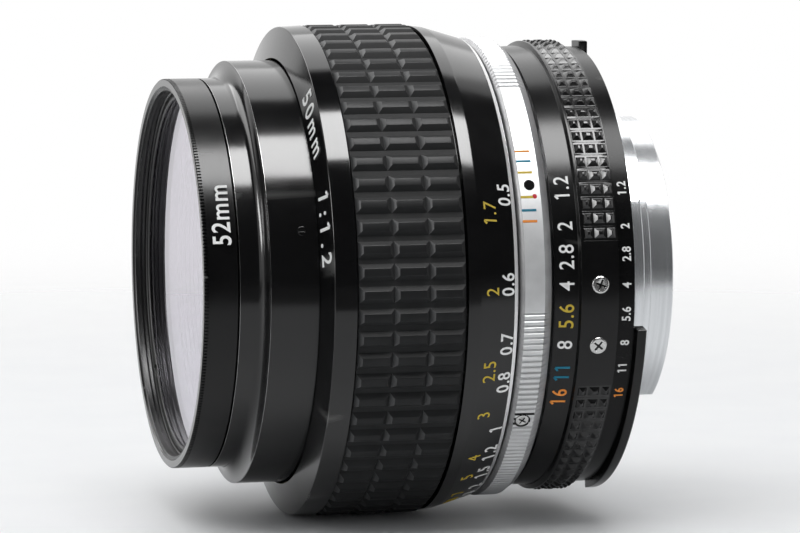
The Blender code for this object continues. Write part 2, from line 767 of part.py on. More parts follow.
def make_blade(number, angle):
    """One blade, drawn about its own pivot, with the pivot pin in front and the drive pin behind."""
    front = blades_front - (number - 1) * blade_pitch
    back = front - BLADE_THICK
    arm = math.degrees(DRIVE_ARM / pivot_radius)
    side = math.degrees(LOBE_RADIUS / pivot_radius)
    lobe = pivot_radius + LOBE_RADIUS
    points = [polar(blade_outer, -side), polar(lobe, -side / 2), polar(lobe, arm + side / 2)]
    steps = range(int(BLADE_SPAN / BLADE_STEP))
    points += [polar(blade_outer, arm + side + BLADE_STEP * step) for step in steps]
    points.append(polar(blade_inner, BLADE_SPAN))
    points += [polar(blade_inner, BLADE_STEP * step) for step in steps[::-1]]
    outline = [(x - pivot_radius, y) for x, y in points]
    blade = flat_plate(f"iris_blade_{number}", [outline], back, front, BLADE_STEEL)
    place = Matrix.Rotation(math.radians(angle), 4, "Z") @ Matrix.Translation((pivot_radius * MM, 0, 0))
    middle = (front + back) / 2
    pins = (
        ("pivot", (0.0, 0.0), middle, plate_front - GAP / 2),
        ("drive", (0.0, DRIVE_ARM), drive_back + GAP / 2, middle),
    )
    blade.matrix_local = place
    for label, centre, low, high in pins:
        outline = ring_points(PIN_RADIUS, PIN_SIDES, centre)
        pin = flat_plate(f"{label}_pin_{number}", [outline], low, high, None)
        pin.matrix_local = place
        combine(blade, pin, "UNION")


def make_stop_lever():
    outline = washer(lever_ring_bore, lever_ring_outer, lever_front, lever_back)
    piece = turned("stop_down_ring", outline, STEEL)
    middle = (lever_front + lever_back) / 2
    fork = math.degrees((TAB_WIDTH / 2 + GAP + PRONG_WIDTH / 2) / tab_inner)
    prong = (tab_inner, tab_outer, middle, prong_front)
    for number, angle in enumerate((TAB_ANGLE - fork, TAB_ANGLE + fork), 1):
        combine(piece, block(f"fork_prong_{number}", PRONG_WIDTH, prong, angle), "UNION")
    tip = tail_back - LEVER_REACH
    outline = [(tab_outer, middle), (tab_outer, lever_back + GAP), (lever_outer, lever_back + GAP)]
    outline += [(lever_outer, tip), (lever_inner, tip), (lever_inner, middle)]
    side = math.degrees(LEVER_WIDTH / 2 / lever_outer)
    combine(piece, swept("lever_arm", outline, LEVER_ANGLE - side, 2 * side, 2), "UNION")


def make_baffle():
    outline = washer(rear_cell_outer + GAP, lever_ring_outer, baffle_front, fixed_back)
    piece = turned("rear_baffle", outline, MATT_BLACK)
    side = math.degrees((LEVER_WIDTH / 2 + GAP) / lever_inner)
    slot = washer(lever_inner - GAP, lever_outer + GAP, lever_back, FLANGE_THICK)
    combine(piece, swept("lever_slot", slot, LEVER_ANGLE - side, LEVER_TURN + 2 * side, INNER_FACETS // 4))


def make_bayonet():
    outline = [
        (flange_outer, FLANGE_THICK),
        (flange_outer, 0),
        (throat_outer, 0),
        (throat_outer, -THROAT_LENGTH),
        (tail_outer, -THROAT_LENGTH),
        (tail_outer, tail_back),
        (tail_bore, tail_back),
        (tail_bore, FLANGE_THICK),
    ]
    piece = turned("bayonet_mount", outline, CHROME, OUTER_FACETS)
    lug = washer(tail_outer, lug_outer, -LUG_START, -LUG_START - LUG_THICK)
    for number, angle in enumerate(LUG_ANGLES, 1):
        helper = swept(f"lug_{number}", lug, angle - LUG_SWEEP / 2, LUG_SWEEP, INNER_FACETS // 4)
        combine(piece, helper, "UNION")
    notch = washer(lever_inner, throat_outer, -THROAT_LENGTH - GAP, tail_back - GAP)
    combine(piece, swept("tail_notch", notch, TAIL_NOTCH_START, TAIL_NOTCH_SWEEP, INNER_FACETS // 4))
    limits = (flange_outer - LOCK_DEPTH, aperture_outer, -LUG_START / 2, FLANGE_THICK + GAP)
    combine(piece, block("lock_notch", LOCK_WIDTH, limits, LOCK_ANGLE))


def settle(piece):
    """Applies a piece's modifiers and shades its round faces smooth."""
    graph = bpy.context.evaluated_depsgraph_get()
    mesh = bpy.data.meshes.new_from_object(piece.evaluated_get(graph))
    piece.modifiers.clear()
    piece.data = mesh
    mesh.shade_smooth()
    mesh.set_sharp_from_angle(angle=math.radians(30))


make_filter()
make_front_barrel()
make_focus_ring()
make_rubber_grip()
make_fixed_barrel()
make_index_ring()
make_aperture_ring()
make_carrier()
make_elements()
make_front_cell()
make_rear_cell()
make_iris()
make_stop_lever()
make_baffle()
make_bayonet()
bpy.context.view_layer.update()
for item in list(lens.objects):
    if item.type == "MESH":
        settle(item)
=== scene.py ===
"""Looks of a manual-focus prime lens that lies on the rubber of its focus ring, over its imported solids.

Sizes are in millimetres in the lens's own terms: a radius from the optical axis, a place along it forwards
from the flange seat, and a turn in degrees round it, from the side that faces the viewer and growing upwards.
Lamps, flags and the camera are in metres.
"""

import math

import bpy
from mathutils import Matrix, Vector


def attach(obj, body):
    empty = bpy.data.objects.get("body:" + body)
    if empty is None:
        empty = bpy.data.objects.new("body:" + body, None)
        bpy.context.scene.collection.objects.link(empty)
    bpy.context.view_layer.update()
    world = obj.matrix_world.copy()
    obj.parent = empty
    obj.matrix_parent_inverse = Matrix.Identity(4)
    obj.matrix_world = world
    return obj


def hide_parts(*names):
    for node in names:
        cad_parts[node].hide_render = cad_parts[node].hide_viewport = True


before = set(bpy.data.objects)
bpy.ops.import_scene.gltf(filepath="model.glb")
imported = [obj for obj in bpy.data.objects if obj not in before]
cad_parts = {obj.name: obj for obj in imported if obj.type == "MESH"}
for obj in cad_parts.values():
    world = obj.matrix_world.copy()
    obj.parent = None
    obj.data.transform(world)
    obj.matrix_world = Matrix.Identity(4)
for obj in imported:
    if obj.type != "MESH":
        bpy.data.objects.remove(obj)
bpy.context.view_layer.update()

MM = 0.001
AXIS = (1.0, 0.0, 0.0)
FACING_VIEWER = (math.pi / 2, 0.0, 0.0)
FLOOR = -34.25
MERGE = 0.002
SMOOTH_ANGLE = 34
ARC_STEPS = 12

# Radii that several pieces share, and the bevel that carries the focal length
FILTER_RADIUS = 27.0
BARREL_RADIUS = 29.37
INDEX_RADIUS = 32.2
NAME_BEVEL = ((29.67, 43.93), (33.86, 42.94))
BEVEL_WORDS = (31.8, 43.43)


# Places and picking

def lens_point(radius, place, turn=0.0):
    angle = math.radians(turn)
    return Vector((-place, -radius * math.cos(angle), radius * math.sin(angle))) * MM


def radius_of(point):
    return math.hypot(point.y, point.z) / MM


def place_of(point):
    return -point.x / MM


def turn_of(point):
    return math.degrees(math.atan2(point.z, -point.y))


def facing(radius, place, turn):
    """The place, as a matrix, of a piece that looks out from the axis at this turn."""
    return Matrix.Translation(lens_point(radius, place, turn)) @ Matrix.Rotation(-math.radians(turn), 4, "X")


def pick_faces(piece, wanted):
    """Selects the faces that pass, by their place and normal, and leaves the piece in edit mode."""
    bpy.ops.object.mode_set(mode="EDIT")
    bpy.ops.mesh.select_mode(type="FACE")
    bpy.ops.mesh.select_all(action="DESELECT")
    bpy.ops.object.mode_set(mode="OBJECT")
    for face in piece.data.polygons:
        face.select = wanted(face)
    bpy.ops.object.mode_set(mode="EDIT")


def pick_edges(piece, wanted):
    """Selects the edges whose two ends pass, and leaves the piece in edit mode."""
    bpy.ops.object.mode_set(mode="EDIT")
    bpy.ops.mesh.select_mode(type="EDGE")
    bpy.ops.mesh.select_all(action="DESELECT")
    bpy.ops.object.mode_set(mode="OBJECT")
    points = piece.data.vertices
    for edge in piece.data.edges:
        edge.select = wanted(points[edge.vertices[0]].co, points[edge.vertices[1]].co)
    bpy.ops.object.mode_set(mode="EDIT")


def along_axis(one, two):
    return abs(one.x - two.x) > 0.1 * MM and (one - two).length - abs(one.x - two.x) < 0.01 * MM


# Turning, bevelling and joining

def select_only(piece):
    bpy.ops.object.select_all(action="DESELECT")
    piece.select_set(True)
    bpy.context.view_layer.objects.active = piece


def put_into_mesh():
    """Puts the place, turn and size of what is selected into its mesh."""
    bpy.ops.object.transform_apply(location=True, rotation=True, scale=True)


def settle(name):
    """Names the primitive that was just added, and leaves its object at the origin."""
    piece = bpy.context.object
    piece.name = piece.data.name = name
    put_into_mesh()
    return piece


def draw_path(name, points):
    """Draws a path from one vertex to the next, and leaves it in edit mode."""
    bpy.ops.object.select_all(action="DESELECT")
    bpy.ops.mesh.primitive_plane_add(size=MM, location=points[0])
    piece = settle(name)
    bpy.ops.object.mode_set(mode="EDIT")
    bpy.ops.mesh.select_mode(type="VERT")
    bpy.ops.mesh.merge(type="CENTER")
    for before, after in zip(points, points[1:]):
        bpy.ops.mesh.extrude_region_move(TRANSFORM_OT_translate={"value": after - before})
    return piece


def draw_section(name, section, turn=0.0):
    return draw_path(name, [lens_point(radius, place, turn) for radius, place in section])


def close_mesh():
    """Merges doubled points, turns every face outwards and goes back to object mode."""
    bpy.ops.mesh.select_all(action="SELECT")
    bpy.ops.mesh.remove_doubles(threshold=MERGE * MM)
    bpy.ops.mesh.normals_make_consistent(inside=False)
    bpy.ops.object.mode_set(mode="OBJECT")


def turned(name, section, steps=128, turn=0.0):
    """A piece turned on the lathe from a section, which is closed where it doesn't end on the axis."""
    if section[0][0] > 0:
        section = section + section[:1]
    piece = draw_section(name, section, turn)
    bpy.ops.mesh.select_all(action="SELECT")
    bpy.ops.mesh.spin(steps=steps, angle=2 * math.pi, center=(0, 0, 0), axis=AXIS)
    close_mesh()
    return piece


def swept(name, section, start, sweep, steps):
    """A closed bar of this section, bent round the axis over part of a turn."""
    piece = draw_section(name, section + section[:1], start)
    bpy.ops.mesh.select_all(action="SELECT")
    bpy.ops.mesh.remove_doubles(threshold=MERGE * MM)
    bpy.ops.mesh.edge_face_add()
    bpy.ops.mesh.spin(steps=steps, angle=math.radians(sweep), center=(0, 0, 0), axis=AXIS)
    close_mesh()
    return piece


def apply_modifier(piece, kind, **settings):
    bpy.context.view_layer.objects.active = piece
    bpy.ops.object.modifier_add(type=kind)
    modifier = piece.modifiers[-1]
    for key, value in settings.items():
        setattr(modifier, key, value)
    bpy.ops.object.modifier_apply(modifier=modifier.name)


def soften(piece, width=0.07, segments=2, angle=28):
    """Breaks the sharp edges of a piece and shades what is round."""
    select_only(piece)
    if width:
        apply_modifier(
            piece, "BEVEL", width=width * MM, segments=segments, limit_method="ANGLE",
            angle_limit=math.radians(angle), use_clamp_overlap=True, harden_normals=False,
        )
    bpy.ops.object.shade_smooth_by_angle(angle=math.radians(SMOOTH_ANGLE))
    if width:
        apply_modifier(piece, "WEIGHTED_NORMAL", keep_sharp=True)


def joined(name, pieces):
    bpy.ops.object.select_all(action="DESELECT")
    for piece in pieces:
        piece.select_set(True)
    bpy.context.view_layer.objects.active = pieces[0]
    if len(pieces) > 1:
        bpy.ops.object.join()
    pieces[0].name = pieces[0].data.name = name
    return pieces[0]


def cut(piece, *cutters):
    for cutter in cutters:
        apply_modifier(piece, "BOOLEAN", operation="DIFFERENCE", object=cutter, solver="EXACT")
        bpy.data.objects.remove(cutter)


def box(name, radii, places, width, turn=0.0):
    """A block that stands on the axis's radius at a turn, with its edges still sharp."""
    bpy.ops.object.select_all(action="DESELECT")
    middle = lens_point(sum(radii) / 2, sum(places) / 2)
    size = (abs(places[0] - places[1]) * MM, abs(radii[0] - radii[1]) * MM, width * MM)
    bpy.ops.mesh.primitive_cube_add(size=1, location=middle, scale=size)
    piece = settle(name)
    turn_to(piece, turn)
    return piece


def disc(name, radius, depth, middle, corners=32):
    """A round block that faces the viewer, with its edges still sharp."""
    bpy.ops.object.select_all(action="DESELECT")
    bpy.ops.mesh.primitive_cylinder_add(
        vertices=corners, radius=radius * MM, depth=depth * MM, location=middle, rotation=FACING_VIEWER
    )
    return settle(name)


def turn_to(piece, turn):
    """Turns a piece that was made facing the viewer, and is still selected, round the axis."""
    piece.rotation_euler = (-math.radians(turn), 0, 0)
    put_into_mesh()


def carry(piece, place):
    """Carries a piece to its place, given as a matrix."""
    piece.matrix_world = place
    select_only(piece)
    put_into_mesh()


def repeat_round(count, pitch):
    """Copies what is selected in edit mode round the axis, count times in all."""
    angle = math.radians(pitch * (count - 1))
    bpy.ops.mesh.spin(steps=count - 1, angle=angle, dupli=True, center=(0, 0, 0), axis=AXIS)


def paint(piece, materials, choose=None):
    """Gives a piece its materials, and each face the one that choose names by its number."""
    piece.data.materials.clear()
    for material in materials:
        piece.data.materials.append(material)
    if choose:
        for face in piece.data.polygons:
            face.material_index = choose(face)


def fit(piece, body, slot, *nodes):
    """Puts a finished piece on its body and hides the solids that it stands for. The record slot is not used.
    """
    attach(piece, body)
    if nodes:
        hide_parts(*nodes)


# Finishes

def blank(name, roughness, metallic=0.0):
    material = bpy.data.materials.new(name)
    material.use_nodes = True
    shader = material.node_tree.nodes["Principled BSDF"]
    shader.inputs["Roughness"].default_value = roughness
    shader.inputs["Metallic"].default_value = metallic
    return material, material.node_tree.nodes, material.node_tree.links, shader


def grain(nodes, links, scale, stretch=(1, 1, 1), detail=3.0):
    """A noise on the piece's own coordinates, drawn out along the axes that stretch makes small."""
    place = nodes.new("ShaderNodeTexCoord")
    mapping = nodes.new("ShaderNodeMapping")
    mapping.inputs["Scale"].default_value = stretch
    noise = nodes.new("ShaderNodeTexNoise")
    noise.inputs["Scale"].default_value = scale
    noise.inputs["Detail"].default_value = detail
    links.new(place.outputs["Object"], mapping.inputs["Vector"])
    links.new(mapping.outputs["Vector"], noise.inputs["Vector"])
    return noise.outputs["Fac"]


def ramp(nodes, links, source, dark, light, low=0.35, high=0.65):
    node = nodes.new("ShaderNodeValToRGB")
    node.color_ramp.elements[0].position = low
    node.color_ramp.elements[0].color = (*dark, 1.0)
    node.color_ramp.elements[1].position = high
    node.color_ramp.elements[1].color = (*light, 1.0)
    links.new(source, node.inputs["Fac"])
    return node.outputs["Color"]


def spread(nodes, links, source, low, high):
    node = nodes.new("ShaderNodeMapRange")
    node.inputs["From Min"].default_value = 0.3
    node.inputs["From Max"].default_value = 0.7
    node.inputs["To Min"].default_value = low
    node.inputs["To Max"].default_value = high
    links.new(source, node.inputs["Value"])
    return node.outputs["Result"]


def bump(nodes, links, shader, source, strength, distance):
    node = nodes.new("ShaderNodeBump")
    node.inputs["Strength"].default_value = strength
    node.inputs["Distance"].default_value = distance * MM
    links.new(source, node.inputs["Height"])
    links.new(node.outputs["Normal"], shader.inputs["Normal"])


LATHE = (1.0, 0.015, 0.015)


def enamel(name, dark, light, rough, lines=0.05, worn=0.12, specular=0.5):
    """Black enamel or anodising on a turned part: faint lathe lines, patchy gloss and edges rubbed paler."""
    material, nodes, links, shader = blank(name, rough[0])
    shader.inputs["Specular IOR Level"].default_value = specular
    patches = grain(nodes, links, 260, detail=5)
    turning = grain(nodes, links, 9000, LATHE, 2)
    base = ramp(nodes, links, patches, dark, light)
    wear = nodes.new("ShaderNodeNewGeometry")
    edge = ramp(nodes, links, wear.outputs["Pointiness"], (0, 0, 0), (worn, worn, worn * 0.97), 0.55, 0.72)
    mix = nodes.new("ShaderNodeMix")
    mix.data_type = "RGBA"
    mix.blend_type = "ADD"
    mix.inputs["Factor"].default_value = 1.0
    links.new(base, mix.inputs["A"])
    links.new(edge, mix.inputs["B"])
    links.new(mix.outputs["Result"], shader.inputs["Base Color"])
    links.new(spread(nodes, links, patches, *rough), shader.inputs["Roughness"])
    bump(nodes, links, shader, turning, lines, 0.02)
    return material


def bright_metal(name, dark, light, rough, lines=0.1, scale=7000, metallic=1.0):
    """Bare or chromed metal: lathe lines in its colour, gloss and surface."""
    material, nodes, links, shader = blank(name, rough[0], metallic)
    turning = grain(nodes, links, scale, LATHE, 4)
    stains = grain(nodes, links, 180, detail=6)
    links.new(ramp(nodes, links, turning, dark, light), shader.inputs["Base Color"])
    links.new(spread(nodes, links, stains, *rough), shader.inputs["Roughness"])
    bump(nodes, links, shader, turning, lines, 0.015)
    return material


def grained(name, dark, light, rough, scale, strength, depth, metallic=0.0, specular=0.5):
    """A finish with one even grain, as blasted metal, paint or rubber has."""
    material, nodes, links, shader = blank(name, rough[0], metallic)
    shader.inputs["Specular IOR Level"].default_value = specular
    fine = grain(nodes, links, scale, detail=6)
    broad = grain(nodes, links, scale / 14, detail=4)
    links.new(ramp(nodes, links, broad, dark, light), shader.inputs["Base Color"])
    links.new(spread(nodes, links, fine, *rough), shader.inputs["Roughness"])
    bump(nodes, links, shader, fine, strength, depth)
    return material


def rubber(name, dark, light, rough, specular):
    return grained(name, dark, light, rough, 5200, 0.25, 0.02, specular=specular)


def scale_paint(name, dark, light):
    """The dull paint of a coloured number or mark."""
    return grained(name, dark, light, (0.55, 0.7), 3000, 0.1, 0.005, specular=0.15)


GLASS_INDEX = 1.52
COAT_TINT = (0.98, 0.97, 1.0, 1.0)


def glass(name, colour, tint, coat, coat_index=1.5):
    """Coated optical glass with the faintest film of dust in its gloss."""
    material, nodes, links, shader = blank(name, 0.0)
    shader.inputs["IOR"].default_value = GLASS_INDEX
    shader.inputs["Transmission Weight"].default_value = 1.0
    shader.inputs["Coat Weight"].default_value = coat
    shader.inputs["Coat Roughness"].default_value = 0.0
    shader.inputs["Coat IOR"].default_value = coat_index
    shader.inputs["Coat Tint"].default_value = COAT_TINT
    shader.inputs["Specular Tint"].default_value = (*tint, 1.0)
    film = grain(nodes, links, 90, detail=6)
    paler = tuple(min(1.0, part * 1.03) for part in colour)
    links.new(ramp(nodes, links, film, colour, paler), shader.inputs["Base Color"])
    links.new(spread(nodes, links, film, 0.0, 0.02), shader.inputs["Roughness"])
    return material


BARREL_BLACK = enamel("barrel_black", (0.003, 0.003, 0.0032), (0.004, 0.004, 0.0043), (0.13, 0.16))
GLOSS_BLACK = enamel("gloss_black", (0.0025, 0.0025, 0.0027), (0.0035, 0.0035, 0.0038), (0.08, 0.11))
FILTER_BLACK = enamel(
    "filter_black", (0.002, 0.002, 0.0022), (0.003, 0.003, 0.0032), (0.22, 0.26), lines=0.12, specular=0.3
)
RING_BLACK = enamel(
    "ring_black", (0.003, 0.003, 0.0032), (0.0045, 0.0045, 0.0047), (0.2, 0.23), lines=0.08, specular=0.3
)
BAND_BLACK = enamel(
    "band_black", (0.003, 0.003, 0.0032), (0.0045, 0.0045, 0.0047), (0.22, 0.26), lines=0.08, specular=0.15
)
KNURL_BLACK = enamel(
    "knurl_black", (0.005, 0.005, 0.0052), (0.007, 0.007, 0.0073), (0.2, 0.26), lines=0.03, worn=0.05
)
# Black of threads and retainers, which also stands as painted shade in the screws' cross recesses.
THREAD_BLACK_AND_SHADE = enamel(
    "thread_black", (0.006, 0.006, 0.006), (0.009, 0.009, 0.009), (0.3, 0.4), lines=0.1, worn=0.03
)
# Matt black of the lens's inside, which also stands as painted shade in the index ring's screw bore.
INNER_BLACK_AND_SHADE = grained("inner_black", (0.006, 0.006, 0.006), (0.01, 0.01, 0.01), (0.5, 0.7), 2500, 0.1, 0.01)
GRIP_RUBBER = rubber("grip_rubber", (0.011, 0.0115, 0.012), (0.014, 0.0145, 0.015), (0.4, 0.47), 0.19)
GRIP_VALLEY = rubber("grip_valley", (0.01, 0.0105, 0.011), (0.013, 0.0135, 0.014), (0.72, 0.8), 0.32)
# Paler rubber for the pads' left-facing slopes: a painted highlight of the light from the left.
GRIP_LIT_SLOPE = rubber("grip_slope", (0.032, 0.033, 0.034), (0.04, 0.041, 0.043), (0.5, 0.6), 0.6)
SATIN_SILVER = grained(
    "satin_silver", (0.62, 0.625, 0.63), (0.68, 0.685, 0.69), (0.42, 0.5), 6500, 0.12, 0.01, 0.6
)
# A darker copy of the satin silver: painted shade on the index ring's chamfers and flat faces.
SHADED_CHAMFER_SILVER = grained(
    "chamfer_silver", (0.33, 0.33, 0.335), (0.4, 0.4, 0.405), (0.4, 0.5), 6500, 0.12, 0.01, 0.7
)
TURNED_ALLOY = bright_metal(
    "turned_alloy", (0.78, 0.78, 0.78), (0.88, 0.88, 0.88), (0.3, 0.38), metallic=0.8
)
GREY_ALLOY = bright_metal("grey_alloy", (0.42, 0.42, 0.43), (0.52, 0.52, 0.53), (0.3, 0.42))
MOUNT_CHROME = bright_metal(
    "mount_chrome", (0.64, 0.655, 0.67), (0.74, 0.755, 0.77), (0.18, 0.24), 0.12, 2600, 0.85
)
BARE_BRASS = bright_metal("bare_brass", (0.62, 0.45, 0.2), (0.74, 0.56, 0.28), (0.25, 0.4))
PLAIN_STEEL = bright_metal("plain_steel", (0.5, 0.5, 0.5), (0.62, 0.62, 0.62), (0.22, 0.34))
BLADE_STEEL = grained(
    "blade_steel", (0.035, 0.036, 0.04), (0.05, 0.051, 0.056), (0.3, 0.42), 1800, 0.05, 0.005, 0.7
)
# Bare metal: real wear on the front barrel's edges, and a painted highlight on the knurl's left-facing
# slopes.
WORN_EDGE_AND_HIGHLIGHT = bright_metal("worn_edge", (0.3, 0.3, 0.3), (0.45, 0.45, 0.45), (0.25, 0.35))
SCREW_STEEL = grained("screw_steel", (0.5, 0.5, 0.5), (0.6, 0.6, 0.59), (0.16, 0.3), 3000, 0.1, 0.01, 1.0)
WHITE_PAINT = grained("white_paint", (0.82, 0.82, 0.81), (0.88, 0.88, 0.87), (0.4, 0.55), 3000, 0.1, 0.005)
YELLOW_PAINT = scale_paint("yellow_paint", (0.57, 0.42, 0.055), (0.66, 0.49, 0.07))
BLUE_PAINT = scale_paint("blue_paint", (0.02, 0.19, 0.29), (0.03, 0.23, 0.34))
ORANGE_PAINT = scale_paint("orange_paint", (0.8, 0.27, 0.05), (0.87, 0.31, 0.065))
RED_PAINT = scale_paint("red_paint", (0.55, 0.03, 0.05), (0.65, 0.04, 0.06))
BLACK_PAINT = grained(
    "black_paint", (0.006, 0.006, 0.006), (0.009, 0.009, 0.009), (0.08, 0.14), 2000, 0.05, 0.005
)
FILTER_PANE = glass("filter_pane", (0.97, 0.95, 0.98), (0.4, 0.36, 0.44), 1.0, 1.25)
VIOLET_GLASS = glass("violet_glass", (0.95, 0.94, 0.96), (0.34, 0.2, 0.52), 0.1)
AMBER_GLASS = glass("amber_glass", (0.96, 0.95, 0.93), (0.5, 0.34, 0.16), 0.1)
GREEN_GLASS = glass("green_glass", (0.94, 0.96, 0.94), (0.2, 0.44, 0.28), 0.1)


# Screw-in filter

TEETH = 360


def make_filter_ring():
    """The filter's rim, with a finely knurled front edge, a thread inside it and another behind."""
    rim = [(FILTER_RADIUS, place) for place in (54.61, 54.72, 58.48, 58.6)]
    rim += [(26.98, 59.08), (26.86, 59.19), (25.95, 59.19), (25.8, 58.95), (25.5, 58.95), (25.4, 58.85)]
    thread = []
    for turn in range(2):
        top = 58.4 - 0.6 * turn
        thread += [(25.4, top), (25.34, top - 0.15), (25.34, top - 0.25), (25.4, top - 0.4)]
    seat = [(25.2, 57.25), (25.2, 54.54), (24.1, 54.54), (24.1, 51.61), (25.45, 51.61)]
    screw = []
    for turn in range(4):
        start = 51.8 + 0.62 * turn
        screw += [(25.7, start), (25.7, start + 0.12), (25.45, start + 0.3), (25.45, start + 0.44)]
    piece = turned("filter_ring", rim + thread + seat + screw + [(25.45, 54.45), (25.8, 54.61)], 2 * TEETH)

    def in_notch(face):
        on_edge = place_of(face.center) > 58.65 and radius_of(face.center) > 26.9
        return on_edge and turn_of(face.center) % (360 / TEETH) < 180 / TEETH

    pick_faces(piece, in_notch)
    bpy.ops.mesh.inset(thickness=0.01 * MM, depth=-0.22 * MM)
    bpy.ops.object.mode_set(mode="OBJECT")
    soften(piece, 0.0)

    def choose(face):
        if radius_of(face.center) < 25.75 and place_of(face.center) < 59.1:
            return 1
        return 2 if place_of(face.center) > 59.15 else 0

    paint(piece, [FILTER_BLACK, THREAD_BLACK_AND_SHADE, GLOSS_BLACK], choose)
    fit(piece, "filter", "black_brass", "filter_ring")


def make_filter_glass():
    """The filter's flat pane, with its edge ground and blackened."""
    section = [(0, 56.84), (24.75, 56.84), (24.9, 56.69), (24.9, 54.99), (24.75, 54.84), (0, 54.84)]
    piece = turned("filter_glass", section)
    soften(piece, 0.0)
    paint(piece, [FILTER_PANE, INNER_BLACK_AND_SHADE], lambda face: radius_of(face.center) > 24.72)
    fit(piece, "filter", "filter_glass", "filter_glass")


def spanner_notches(radii, places, width):
    """The cutters of two opposite notches, in which a spanner turns a retaining ring."""
    return [box("notch", radii, places, width, turn) for turn in (40, 220)]


def make_filter_retainer():
    """The thin ring that holds the pane, with two notches for a spanner."""
    section = [(25.1, 56.88), (25.1, 57.25), (24.5, 57.25), (24.3, 57.1), (24.3, 56.88)]
    piece = turned("filter_retainer", section, 192)
    cut(piece, *spanner_notches((23.9, 25.5), (57.1, 57.6), 1.6))
    soften(piece, 0.04)
    paint(piece, [THREAD_BLACK_AND_SHADE])
    fit(piece, "filter", "black_brass", "filter_retainer")


# Front barrel and the glass in it

def make_front_barrel():
    """The front tube: a rim, a hollow shoulder, a plain wall, and inside it a thread and a light trap."""
    shoulder, shoulder_length = 52.13, 1.52
    outside = [(26.1, 54.31), (FILTER_RADIUS, 54.31), (FILTER_RADIUS, shoulder)]
    for step in range(1, ARC_STEPS + 1):
        angle = math.radians(90 * step / ARC_STEPS)
        radius = BARREL_RADIUS - (BARREL_RADIUS - FILTER_RADIUS) * math.cos(angle)
        outside.append((radius, shoulder - shoulder_length * math.sin(angle)))
    outside += [(BARREL_RADIUS, 28.9), (29.2, 28.75), (29.2, 28.35), (BARREL_RADIUS, 28.2)]
    outside += [(BARREL_RADIUS, 27.41)]
    inside = [(28.6, 27.41), (28.6, 44.91), (25.9, 44.91), (25.9, 47.91), (22.6, 47.91)]
    for ridge in range(6):
        inside += [(22.62 + 0.43 * ridge, 48.0 + 0.51 * ridge), (22.98 + 0.43 * ridge, 48.06 + 0.51 * ridge)]
    inside += [(25.2, 51.01), (26.0, 51.01)]
    for groove in range(5):
        start = 51.3 + 0.6 * groove
        inside += [(26.0, start), (26.2, start + 0.15), (26.2, start + 0.3), (26.0, start + 0.45)]
    piece = turned("front_barrel", outside + inside, 192)
    soften(piece, 0.07)

    def choose(face):
        place, radius = place_of(face.center), radius_of(face.center)
        if radius < 26.3 and place < 54.2:
            return 1
        on_shoulder_edge = radius > 29.3 and 50.53 < place < 50.6
        on_rim_edge = 26.93 < radius < FILTER_RADIUS and place > 54.24
        return 2 if on_shoulder_edge or on_rim_edge else 0

    paint(piece, [BARREL_BLACK, THREAD_BLACK_AND_SHADE, WORN_EDGE_AND_HIGHLIGHT], choose)
    fit(piece, "lens_unit", "black_alloy", "front_barrel")


# Each element's front vertex, thickness, front and rear curves, half widths in front and behind, and coating
ELEMENTS = (
    (51.48, 6.6, 42.0, 160.0, 21.8, 21.8, VIOLET_GLASS),
    (44.48, 6.8, 28.0, 70.0, 18.8, 18.8, AMBER_GLASS),
    (36.78, 2.0, 85.0, 19.8, 17.8, 14.8, GREEN_GLASS),
    (14.765, 1.5, -20.5, 120.0, 14.2, 14.2, AMBER_GLASS),
    (13.165, 6.6, 120.0, -30.0, 15.0, 15.0, VIOLET_GLASS),
    (6.215, 4.0, -110.0, -36.0, 16.2, 16.2, GREEN_GLASS),
    (1.87, 3.6, 95.0, -140.0, 16.4, 16.4, VIOLET_GLASS),
)


def fall(curve, height):
    """How far a spherical surface falls back at this height from the axis."""
    return math.copysign(abs(curve) - math.sqrt(curve * curve - height * height), curve)


def make_elements():
    """The seven lens elements, each ground to its two curves, with a blackened edge."""
    for number, (vertex, thick, front, rear, half, rear_half, coating) in enumerate(ELEMENTS, 1):
        node = f"lens_element_{number}"
        section = []
        back = []
        for step in range(ARC_STEPS + 1):
            reach = half * step / ARC_STEPS
            section.append((reach, vertex - fall(front, reach)))
            reach = rear_half * step / ARC_STEPS
            back.append((reach, vertex - thick - fall(rear, reach)))
        if rear_half < half:
            back.append((half, back[-1][1]))
        piece = turned(node, section + back[::-1], 96)
        soften(piece, 0.0)
        edge = half - 0.02
        paint(piece, [coating, INNER_BLACK_AND_SHADE], lambda face: radius_of(face.center) > edge)
        fit(piece, "lens_unit", "lens_glass", node)


def make_front_cell():
    """The cell of the front group, stepped to hold its glass, and the notched ring over the first element."""
    section = [(25.6, 47.61), (25.6, 27.23), (15.1, 27.23), (15.1, 27.83), (18.1, 27.83)]
    section += [(18.1, 34.81), (19.1, 34.81), (19.1, 43.09), (22.1, 43.09), (22.1, 47.61)]
    piece = turned("front_cell", section, 96)
    soften(piece, 0.06)
    paint(piece, [INNER_BLACK_AND_SHADE])
    fit(piece, "lens_unit", "matt_black_alloy", "front_cell")
    ring = [(20.9, 46.21), (21.8, 46.21), (21.8, 47.21), (21.3, 47.21), (20.9, 46.8)]
    piece = turned("front_retainer", ring, 128)
    cut(piece, *spanner_notches((20.5, 22.2), (46.9, 47.6), 1.4))
    soften(piece, 0.05)
    paint(piece, [THREAD_BLACK_AND_SHADE])
    fit(piece, "lens_unit", "black_alloy", "front_retainer")


SET_SCREW_TURN = 16.35


def make_set_screw():
    """The little slotted screw that is sunk in the front tube."""
    piece = disc("barrel_set_screw", 0.62, 0.5, lens_point(29.16, 46.12), 20)
    cut(piece, box("slot", (29.2, 29.8), (45.0, 47.2), 0.2))
    soften(piece, 0.05)

    def in_slot(face):
        return abs(face.center.z) < 0.11 * MM and 29.15 < -face.center.y / MM < 29.38

    paint(piece, [GLOSS_BLACK, INNER_BLACK_AND_SHADE], in_slot)
    turn_to(piece, SET_SCREW_TURN)
    fit(piece, "lens_unit", "black_alloy")


# Focus ring

